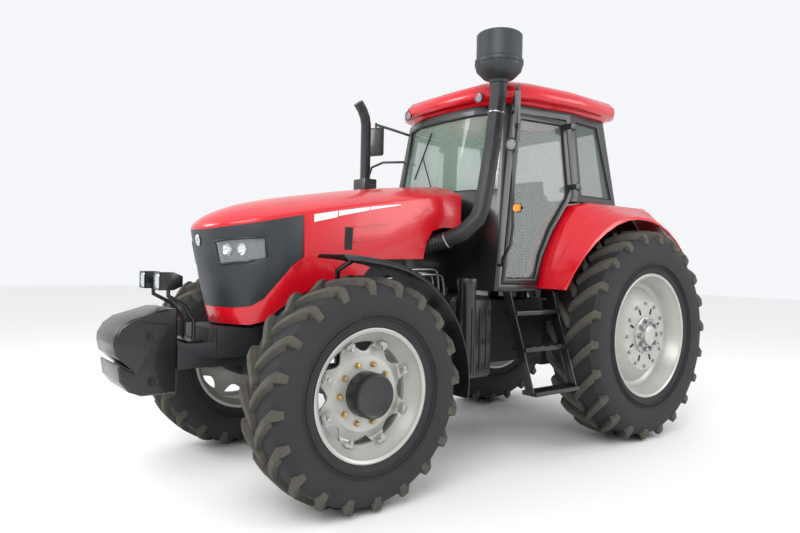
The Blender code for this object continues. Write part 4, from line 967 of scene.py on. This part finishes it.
# %% Work lamps
LAMP_HALF = 0.0525
low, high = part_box("work_lamps")
for word, side in SIDES.items():
    x, z = side * (high.x - LAMP_HALF), high.z - LAMP_HALF
    front = low.y
    frame_ring = []
    for dx, dz, wide, tall in ((0, LAMP_HALF - 0.005, LAMP_HALF * 2, 0.010),
                               (0, 0.005 - LAMP_HALF, LAMP_HALF * 2, 0.010),
                               (LAMP_HALF - 0.005, 0, 0.010, LAMP_HALF * 2),
                               (0.005 - LAMP_HALF, 0, 0.010, LAMP_HALF * 2)):
        frame_ring.append(moved(block((wide, 0.012, tall), 0.003), (x + dx, front - 0.004, z + dz)))
    dress(joined(frame_ring, "bezel"), f"work_lamp_bezel_{word}", "chassis", black_powder)
    bowl = aimed(turned([(0.0, 0.0), (-0.002, 0.040), (0.004, 0.046), (0.006, 0.042), (0.003, 0.020),
                         (0.002, 0.0)], 32),
                 (x, front, z), (0, -1, 0))
    dress(bowl, f"work_lamp_reflector_{word}", "chassis", reflector)
    lens = moved(block((0.092, 0.004, 0.092), 0.0015), (x, front - 0.007, z))
    dress(lens, f"work_lamp_lens_{word}", "chassis", clear_lens)
    fins = row_of(block((0.004, 0.045, 0.090), 0.0008), 7, (0.013, 0, 0), black_powder, "fins")
    dress(moved(fins, (x - 0.039, front + 0.055, z)), f"work_lamp_fins_{word}", "chassis", black_powder)
print("nose dressed")

# %% [markdown]
# ## The cab's outside
# Glass sits in black rubber seals, and a wiper rests on the windscreen. The roof carries round lamps in front,
# and the rails carry turn lamps on stubs. A seal is a thin band along the pane's own edge, which is found as
# the outline of the pane's outer side.


# %% Window seals
def pane_outline(node):
    """The outline of a pane's outer side, in order."""
    bm = bmesh.new()
    bm.from_mesh(frame["nodes"][node].data)
    bmesh.ops.remove_doubles(bm, verts=bm.verts, dist=2e-5)
    bm.normal_update()
    broad = max(bm.faces, key=lambda face: face.calc_area())
    outer_side = {broad}
    waiting = [broad]
    while waiting:
        for edge in waiting.pop().edges:
            for face in edge.link_faces:
                if face not in outer_side and face.normal.dot(broad.normal) > 0.6:
                    outer_side.add(face)
                    waiting.append(face)
    rim = [edge for face in outer_side for edge in face.edges
           if sum(near in outer_side for near in edge.link_faces) == 1]
    vert = rim[0].verts[0]
    ordered = [vert]
    unused = set(rim)
    while unused:
        edge = next((edge for edge in unused if vert in edge.verts), None)
        if edge is None:
            break
        unused.remove(edge)
        vert = edge.other_vert(vert)
        ordered.append(vert)
    outline = [vert.co.copy() for vert in ordered[:-1]]
    bm.free()
    return outline


def edge_band(node, radius, inset):
    """A tube along a pane's edge, on both sides of the glass."""
    outline = pane_outline(node)
    middle = sum(outline, Vector()) / len(outline)
    points = [point + (middle - point).normalized() * inset for point in outline]
    return closed_band(points, radius, node)


SEAL_RADIUS = 0.008
SEAL_INSET = 0.004
for node in (node for nodes in GLAZING.values() for node in nodes):
    dress(edge_band(node, SEAL_RADIUS, SEAL_INSET), f"{node}_seal", BODY_OF[node], seal_rubber,
          80)

# %% [markdown]
# ### Wiper and roof lamps

# %% Wiper
screen_tree = skin_tree(frame["nodes"]["windscreen"])


def on_screen(x, z, lift=0.006):
    hit, normal = from_front(screen_tree, x, z)
    return hit + normal * lift


wiper_arm = bar([on_screen(-0.05, 2.03, 0.018), on_screen(-0.10, 2.10, 0.020), on_screen(-0.24, 2.34, 0.016)],
                0.005, "arm")
wiper_blade = bar([on_screen(-0.24 + 0.085 * t, 2.34 + 0.19 * t, 0.008) for t in (-1, -0.5, 0, 0.5, 1)],
                  0.006, "blade")
pivot = aimed(turned([(0.0, 0.0), (0.0, 0.016), (0.022, 0.012), (0.022, 0.0)], 20),
              on_screen(-0.05, 2.03, 0.0), (0, -1, 0.2))
dress(joined([wiper_arm, wiper_blade, pivot], "wiper"), "wiper", "chassis", seal_rubber, 60)

# %% Roof lamps and turn lamps
ROOF_LAMP_Z = 2.715
roof_tree = skin_tree(skins["cab_roof"])
for word, side in SIDES.items():
    start = from_front(roof_tree, side * 0.43, ROOF_LAMP_Z)[0] + Vector((0, 0.004, 0))
    shell = aimed(turned([(0.0, 0.0), (0.0, 0.040), (0.012, 0.042), (0.012, 0.036), (0.006, 0.030),
                          (0.004, 0.0)], 32), start, (0, -1, -0.1))
    dress(shell, f"roof_lamp_shell_{word}", "chassis", black_powder)
    glass = aimed(turned([(0.008, 0.0), (0.008, 0.036), (0.012, 0.034), (0.016, 0.018), (0.017, 0.0)], 32),
                  start, (0, -1, -0.1))
    dress(glass, f"roof_lamp_lens_{word}", "chassis", clear_lens)
    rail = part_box(f"grab_rail_{word}")
    rail_tree = skin_tree(skins[f"grab_rail_{word}"])
    spot = rail_tree.find_nearest(Vector((side * 0.905, rail[0].y + 0.03, 1.83)))[0]
    stub = bar([spot, spot + Vector((side * 0.018, -0.006, 0))], 0.008, "stub")
    body = moved(block((0.075, 0.040, 0.058), 0.018), (spot.x + side * 0.050, spot.y - 0.010, spot.z))
    dress(joined([stub, body], "turn"), f"turn_lamp_body_{word}", "chassis", black_powder, 50)
    lens = moved(block((0.066, 0.016, 0.048), 0.007), (spot.x + side * 0.050, spot.y - 0.032, spot.z))
    dress(lens, f"turn_lamp_lens_{word}", "chassis", amber_lens, 60)

# %% [markdown]
# ## Air intake
# The pre-cleaner on top of the intake pipe spins dust out of the air, and a raised seam runs round its bowl.
# Low down the pipe turns into a ribbed rubber elbow, and a bright band clamp sits at each end of the pipe. The
# pipe's middle is found by rays across it, so the ribs follow its bends.

# %% Intake
low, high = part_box("pre_cleaner")
centre_x, centre_y = (low.x + high.x) / 2, (low.y + high.y) / 2
radius = (high.x - low.x) / 2
lip = aimed(turned([(0.0, radius * 0.60), (0.0, radius * 0.995), (0.006, radius * 1.0),
                    (0.012, radius * 0.995), (0.012, radius * 0.60)], 64),
            (centre_x, centre_y, low.z + 0.128), (0, 0, 1))
dress(lip, "pre_cleaner_seam", "chassis", seal_rubber, 60)

pipe_tree = skin_tree(skins["intake_pipe"])


def pipe_ring(centre, direction, radius, wide, name):
    profile = [(-wide / 2, radius * 0.9), (-wide / 2, radius), (-wide * 0.2, radius + wide * 0.35),
               (wide * 0.2, radius + wide * 0.35), (wide / 2, radius), (wide / 2, radius * 0.9)]
    return aimed(turned(profile, 32, name), centre, direction)


def pipe_centre(guess, direction):
    """The middle and radius of the pipe near a guessed point, from rays across it."""
    direction = direction.normalized()
    across = direction.orthogonal().normalized()
    other = direction.cross(across)
    hits = []
    for turn in range(16):
        angle = turn * math.tau / 16
        ray = across * math.cos(angle) + other * math.sin(angle)
        hit = pipe_tree.ray_cast(guess, ray)[0]
        if hit is not None:
            hits.append(hit)
    if len(hits) < 8:
        return None
    middle = sum(hits, Vector()) / len(hits)
    spread = sum((hit - middle).length for hit in hits) / len(hits)
    return middle, spread


def pipe_route(start, direction, step, count):
    """Walks along the pipe's middle."""
    found = []
    place, heading = start.copy(), direction.normalized()
    for _ in range(count):
        fixed = pipe_centre(place, heading)
        if fixed is None:
            break
        middle, spread = fixed
        if found:
            heading = (middle - found[-1][0]).normalized()
        found.append((middle, spread, heading.copy()))
        place = middle + heading * step
    return found


low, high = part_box("intake_pipe")
route = pipe_route(Vector((centre_x, centre_y, high.z - 0.15)), Vector((0, 0, -1)), 0.012, 190)
print("pipe route", len(route), [round(v, 3) for v in route[-1][0]] if route else None)
if len(route) > 60:
    rings = [pipe_ring(middle, heading, spread, 0.012, "rib") for middle, spread, heading in route[-34:-8:2]]
    dress(joined(rings, "ribs"), "intake_bellows", "chassis", hose_rubber, 60)
    middle, spread, heading = route[-38]
    clamp = pipe_ring(middle, heading, spread + 0.001, 0.014, "clamp")
    dress(clamp, "intake_clamp", "chassis", zinc_plate)
    middle, spread, heading = route[6]
    clamp = pipe_ring(middle, heading, spread + 0.001, 0.014, "clamp")
    dress(clamp, "intake_top_clamp", "chassis", zinc_plate)

# %% [markdown]
# ## Tank and steps
# The tank on the left is a moulded box with upright ribs. Bright strips lie across the steps' treads.

# %% Tank and steps
for word, side in SIDES.items():
    low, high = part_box(f"steps_{word}")
    step_tree = skin_tree(skins[f"steps_{word}"])
    treads = []
    x_middle = (low.x + high.x) / 2
    for start_z in (0.70, 0.90, 1.10, 1.30):
        hit = step_tree.ray_cast(Vector((x_middle, (low.y + high.y) / 2, start_z)), Vector((0, 0, -1)))[0]
        if hit is not None and all(abs(hit.z - z) > 0.05 for z in treads):
            treads.append(hit.z)
    strips = []
    for z in treads:
        front = step_tree.ray_cast(Vector((x_middle, -2, z - 0.008)), Vector((0, 1, 0)))[0]
        back = step_tree.ray_cast(Vector((x_middle, 3, z - 0.008)), Vector((0, -1, 0)))[0]
        if front is None or back is None:
            continue
        length = back.y - front.y
        for share in (0.2, 0.4, 0.6, 0.8):
            y = front.y + length * share
            sill = step_tree.ray_cast(Vector((side * 3, y, z - 0.008)), Vector((-side, 0, 0)))[0]
            inner = step_tree.ray_cast(Vector((0, y, z - 0.008)), Vector((side, 0, 0)))[0]
            if sill is None or inner is None:
                continue
            wide = abs(sill.x - inner.x)
            bar_part = moved(block((wide * 0.9, 0.010, 0.005), 0.0015),
                             ((sill.x + inner.x) / 2, y, z + 0.002))
            strips.append(bar_part)
    if strips:
        dress(joined(strips, "treads"), f"step_treads_{word}", "chassis", zinc_plate)

low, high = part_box("fuel_tank")
tank_tree = skin_tree(skins["fuel_tank"])
ribs = []
for share in (0.18, 0.34, 0.50, 0.66, 0.82):
    y = low.y + (high.y - low.y) * share
    top = tank_tree.ray_cast(Vector((3, y, 1.10)), Vector((-1, 0, 0)))[0]
    foot = tank_tree.ray_cast(Vector((3, y, 0.70)), Vector((-1, 0, 0)))[0]
    if top is None or foot is None:
        continue
    ribs.append(bar([(top.x, y, 1.12), (top.x, y, 0.95), (foot.x, y, 0.82), (foot.x, y, 0.68)], 0.008, "rib"))
if ribs:
    dress(joined(ribs, "ribs"), "tank_ribs", "chassis", black_powder, 60)

# %% [markdown]
# ## The cab's inside
# Through the tinted glass one sees the seat, the wheel and the console. The seat is foam under woven cloth:
# a crowned cushion and a back with side bolsters, each a closed form that is soft at its edges, on a black
# base. The steering wheel gets a smooth rim. The console carries round dials and a few levers.


# %% Seat
def pad(size, place, turn, name, crown=0.022, seams=3):
    """A crowned cushion: a subdivided block whose broad face swells and whose seams are pulled in."""
    bm = bmesh.new()
    bmesh.ops.create_cube(bm, size=1.0)
    bmesh.ops.subdivide_edges(bm, edges=bm.edges, cuts=17, use_grid_fill=True)
    for vert in bm.verts:
        u, v, w = vert.co.x * 2, vert.co.y * 2, vert.co.z * 2
        rounding = (1 - 0.16 * abs(w) ** 4)
        bulge = crown * (1 - u ** 4) * (1 - v ** 4)
        groove = 0.0
        for seam in range(seams):
            place_u = -0.55 + 1.1 * seam / max(1, seams - 1)
            groove += 0.007 * math.exp(-((u - place_u) / 0.045) ** 2)
        inward = 1 - 0.05 * (1 - u * u) * (abs(v) > 0.999) - 0.05 * (1 - v * v) * (abs(u) > 0.999)
        vert.co = Vector((u * size[0] / 2 * (1 - 0.06 * v * v * abs(u)) * inward,
                          v * size[1] / 2 * (1 - 0.06 * u * u * abs(v)) * inward,
                          w * size[2] / 2 * (1 - 0.25 * max(abs(u), abs(v)) ** 8)))
        if w > 0:
            vert.co.z += (bulge - groove) * w
        vert.co.x *= rounding
        vert.co.y *= rounding
    obj = object_from(mesh_from(bm, name), name)
    smooth = obj.modifiers.new("soft", "SUBSURF")
    smooth.levels = 1
    smooth.render_levels = 1
    return moved(baked(obj, name), place, turn, "X")


low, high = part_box("seat")
cushion = pad((0.46, 0.46, 0.085), (0, low.y + 0.235, 1.650), math.radians(4), "cushion")
back = pad((0.44, 0.56, 0.075), (0, high.y - 0.115, 1.925), math.radians(98), "back", 0.020)
seat_base = joined([
    moved(block((0.34, 0.34, 0.19), 0.02), (0, low.y + 0.24, 1.375)),
    moved(block((0.42, 0.42, 0.05), 0.02), (0, low.y + 0.24, 1.585)),
    moved(block((0.36, 0.03, 0.46), 0.012), (0, high.y - 0.045, 1.84)),
    *[moved(block((0.24 - 0.02 * k, 0.24 - 0.02 * k, 0.018), 0.006), (0, low.y + 0.24, 1.485 + k * 0.022))
      for k in range(4)],
], "base")
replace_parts(dress(seat_base, "seat_base", "chassis", black_powder), "seat")
for piece, fill in ((cushion, 0.8), (back, 0.8)):
    word = piece.name
    cloth = dress(piece, f"seat_{word}", "chassis", seat_cloth, 70)

# %% Steering wheel and console
low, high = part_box("dashboard")
dash_tree = skin_tree(skins["dashboard"])
dials = []
for x in (-0.10, 0.0, 0.10):
    hit, normal, *_ = dash_tree.ray_cast(Vector((x, 0.42, 2.3)), Vector((0, -0.45, -1)).normalized())
    if hit is not None:
        dials.append(aimed(turned([(0.0, 0.0), (0.0, 0.036), (0.006, 0.038), (0.006, 0.032), (0.003, 0.030),
                                   (0.003, 0.0)], 32), hit, normal))
if dials:
    dress(joined(dials, "dials"), "dials", "chassis", mirror_glass)
levers = []
for x, y, z, lean in ((0.30, 0.86, 1.74, 0.06), (0.34, 0.93, 1.72, 0.04), (0.38, 1.00, 1.70, 0.02)):
    floor_z = 1.30
    levers.append(bar([(x, y, floor_z + 0.02), (x, y, z - 0.08), (x, y - lean, z)], 0.006, "lever"))
    levers.append(moved(block((0.024, 0.024, 0.042), 0.010), (x, y - lean, z)))
levers.append(moved(block((0.16, 0.42, 0.36), 0.02), (0.36, 0.95, 1.46)))
dress(joined(levers, "levers"), "side_console", "chassis", grey_plastic, 50)
print("cab dressed")

# %% Smooth steering wheel
WHEEL_LEAN = math.radians(28)
hub_place = Vector((0.0, ahead(1.03), 1.93))
wheel_axis = Vector((0, math.sin(WHEEL_LEAN), math.cos(WHEEL_LEAN)))
grip_route = [(0.0, 0.195 * math.cos(step * math.tau / 48), 0.195 * math.sin(step * math.tau / 48))
              for step in range(49)]
wheel_parts = [bar(grip_route, 0.0138, "grip", 12)]
wheel_parts.append(turned([(-0.018, 0.0), (-0.018, 0.036), (0.006, 0.039), (0.011, 0.034), (0.013, 0.0)], 40))
for turn in (90, 210, 330):
    end = (0.0, 0.192 * math.cos(math.radians(turn)), 0.192 * math.sin(math.radians(turn)))
    wheel_parts.append(bar([(0, 0, 0), end], 0.0095, "spoke", 10))
wheel_whole = joined(wheel_parts, "wheel")
wheel_whole = aimed(wheel_whole, hub_place, wheel_axis)
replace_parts(dress(wheel_whole, "steering_wheel_smooth", "steering_wheel", mask_plastic,
                  50),
            "steering_wheel")

# %% [markdown]
# ## Fender liners, engine side and rear
# A dark inner wall closes the gap between the fender and the cab side of the tyre. On the engine's left hang
# two oil filters, a block, hard pipes and brackets. Behind, the power shaft has a splined end, eight hydraulic
# ports stand in two rows, and rear lamps sit on the fenders.

# %% Inner fender wall
for word, side in SIDES.items():
    low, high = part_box(f"fender_{word}")
    fender_tree = skin_tree(skins[f"fender_{word}"])
    centre = Vector((side * 0.72, REAR_AXLE_Y,
                     (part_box("tyre_rear_left")[0].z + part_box("tyre_rear_left")[1].z) / 2))
    arc = []
    for step in range(25):
        turn = math.radians(44 + step * 4)
        ray = Vector((0, -math.cos(turn), math.sin(turn)))
        hit = fender_tree.ray_cast(centre, ray)[0]
        if hit is not None:
            arc.append((turn, (hit - centre).length))
    outer = [(centre.y - math.cos(turn) * (reach - 0.002), centre.z + math.sin(turn) * (reach - 0.002))
             for turn, reach in arc]
    inner = [(centre.y - math.cos(turn) * 0.74, centre.z + math.sin(turn) * 0.74) for turn,
             reach in reversed(arc)]
    print(word, "liner points", len(arc))
    if len(arc) > 4:
        wall = plate(outer + inner, 0.006)
        wall = moved(wall, (0.600 if side > 0 else -0.606, 0, 0))
        dress(wall, f"fender_liner_{word}", "chassis", black_powder, 60)

# %% Engine side
filters = [
    moved(aimed(turned([(0.0, 0.0), (0.0, 0.046), (0.01, 0.050), (0.19, 0.050), (0.20, 0.040), (0.205, 0.0)],
                       32), (0, 0, 0), (0, 0, 1)),
          (0.300, -0.470, 1.06)),
    moved(aimed(turned([(0.0, 0.0), (0.0, 0.036), (0.01, 0.040), (0.15, 0.040), (0.16, 0.030), (0.165, 0.0)],
                       32), (0, 0, 0), (0, 0, 1)),
          (0.290, -0.600, 1.08)),
    moved(block((0.12, 0.30, 0.05), 0.008), (0.285, -0.535, 1.285)),
]
dress(joined(filters, "filters"), "engine_filters", "chassis", grey_plastic, 50)
pipes = []
for k, (y, z, drop) in enumerate(((-0.36, 1.34, 0.20), (-0.32, 1.37, 0.26), (-0.28, 1.40, 0.32),
                                  (-0.24, 1.36, 0.24))):
    x = 0.262 + 0.016 * k
    pipes.append(bar([(x, y - 0.34, z - 0.02), (x, y, z), (x, y + 0.06, z - 0.04), (x, y + 0.07, z - drop)],
                     0.008, "pipe"))
dress(joined(pipes, "pipes"), "engine_pipes", "chassis", zinc_plate, 50)
brackets = [moved(block((0.03, 0.05, 0.12), 0.004), (0.255, -0.66 + 0.18 * k, 1.20)) for k in range(4)]
brackets += [aimed(hexagon_bolt(0.019, 0.010), (0.270, -0.66 + 0.18 * k, 1.23), (1, 0, 0)) for k in range(4)]
dress(joined(brackets, "brackets"), "engine_brackets", "chassis", casting, 50)

# %% Rear lamps, power shaft and ports
for word, side in SIDES.items():
    fender_tree = skin_tree(skins[f"fender_{word}"])
    hit = None
    for lamp_z in (1.62, 1.66, 1.70, 1.74, 1.78):
        hit = fender_tree.ray_cast(Vector((side * 0.80, 4, lamp_z)), Vector((0, -1, 0)))[0]
        if hit is not None and hit.y > REAR_AXLE_Y + 0.2:
            break
    if hit is not None and hit.y > REAR_AXLE_Y + 0.2:
        case = moved(block((0.19, 0.030, 0.075), 0.010), (hit.x, hit.y + 0.002, hit.z))
        dress(case, f"rear_lamp_case_{word}", "chassis", black_powder, 50)
        for index, (share,
                    lens_finish) in enumerate(((0.052, red_lens), (-0.012, amber_lens),
                                               (-0.062, clear_lens))):
            lens = moved(block((0.058 if index == 0 else 0.046, 0.010, 0.058), 0.004),
                         (hit.x + side * share, hit.y + 0.020, hit.z))
            dress(lens, f"rear_lamp_lens_{word}_{index}", "chassis", lens_finish, 60)
low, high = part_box("rear_axle_housing")
shaft = aimed(turned([(0.0, 0.0), (0.0, 0.052), (0.014, 0.050), (0.014, 0.020), (0.085, 0.020),
                      (0.088, 0.017), (0.088, 0.0)], 40),
              (0, high.y, 0.72), (0, 1, 0))
splines = ring_of(moved(block((0.060, 0.004, 0.004), 0.0008), (0.050, 0.0, 0.021)), 18, zinc_plate, "splines")
splines = aimed(splines, (0, high.y, 0.72), (0, 1, 0))
dress(joined([shaft, splines], "shaft"), "power_shaft", "chassis", zinc_plate, 40)
ports = []
for row in range(2):
    for column in range(4):
        place = (0.06 + 0.045 * column - 0.13, high.y - 0.004, 1.02 + 0.05 * row)
        ports.append(aimed(turned([(0.0, 0.0), (0.0, 0.017), (0.02, 0.017), (0.022, 0.014), (0.022, 0.0)],
                                  20), place, (0, 1, 0)))
dress(joined(ports, "ports"), "hydraulic_ports", "chassis", seal_rubber, 50)

# %% Rail lamp
rail_tree = skin_tree(skins["grab_rail_left"])
spot = rail_tree.find_nearest(Vector((0.90, -0.07, 2.29)))[0]
shell = aimed(turned([(0.0, 0.0), (0.006, 0.030), (0.034, 0.046), (0.044, 0.047), (0.044, 0.040),
                      (0.030, 0.030), (0.028, 0.0)], 36),
              spot + Vector((0.012, -0.004, 0)), (0.25, -1, 0))
dress(shell, "rail_lamp_shell", "chassis", black_powder, 50)
glass = aimed(turned([(0.036, 0.0), (0.036, 0.040), (0.044, 0.036), (0.050, 0.016), (0.051, 0.0)], 36),
              spot + Vector((0.012, -0.004, 0)), (0.25, -1, 0))
dress(glass, "rail_lamp_lens", "chassis", clear_lens, 50)
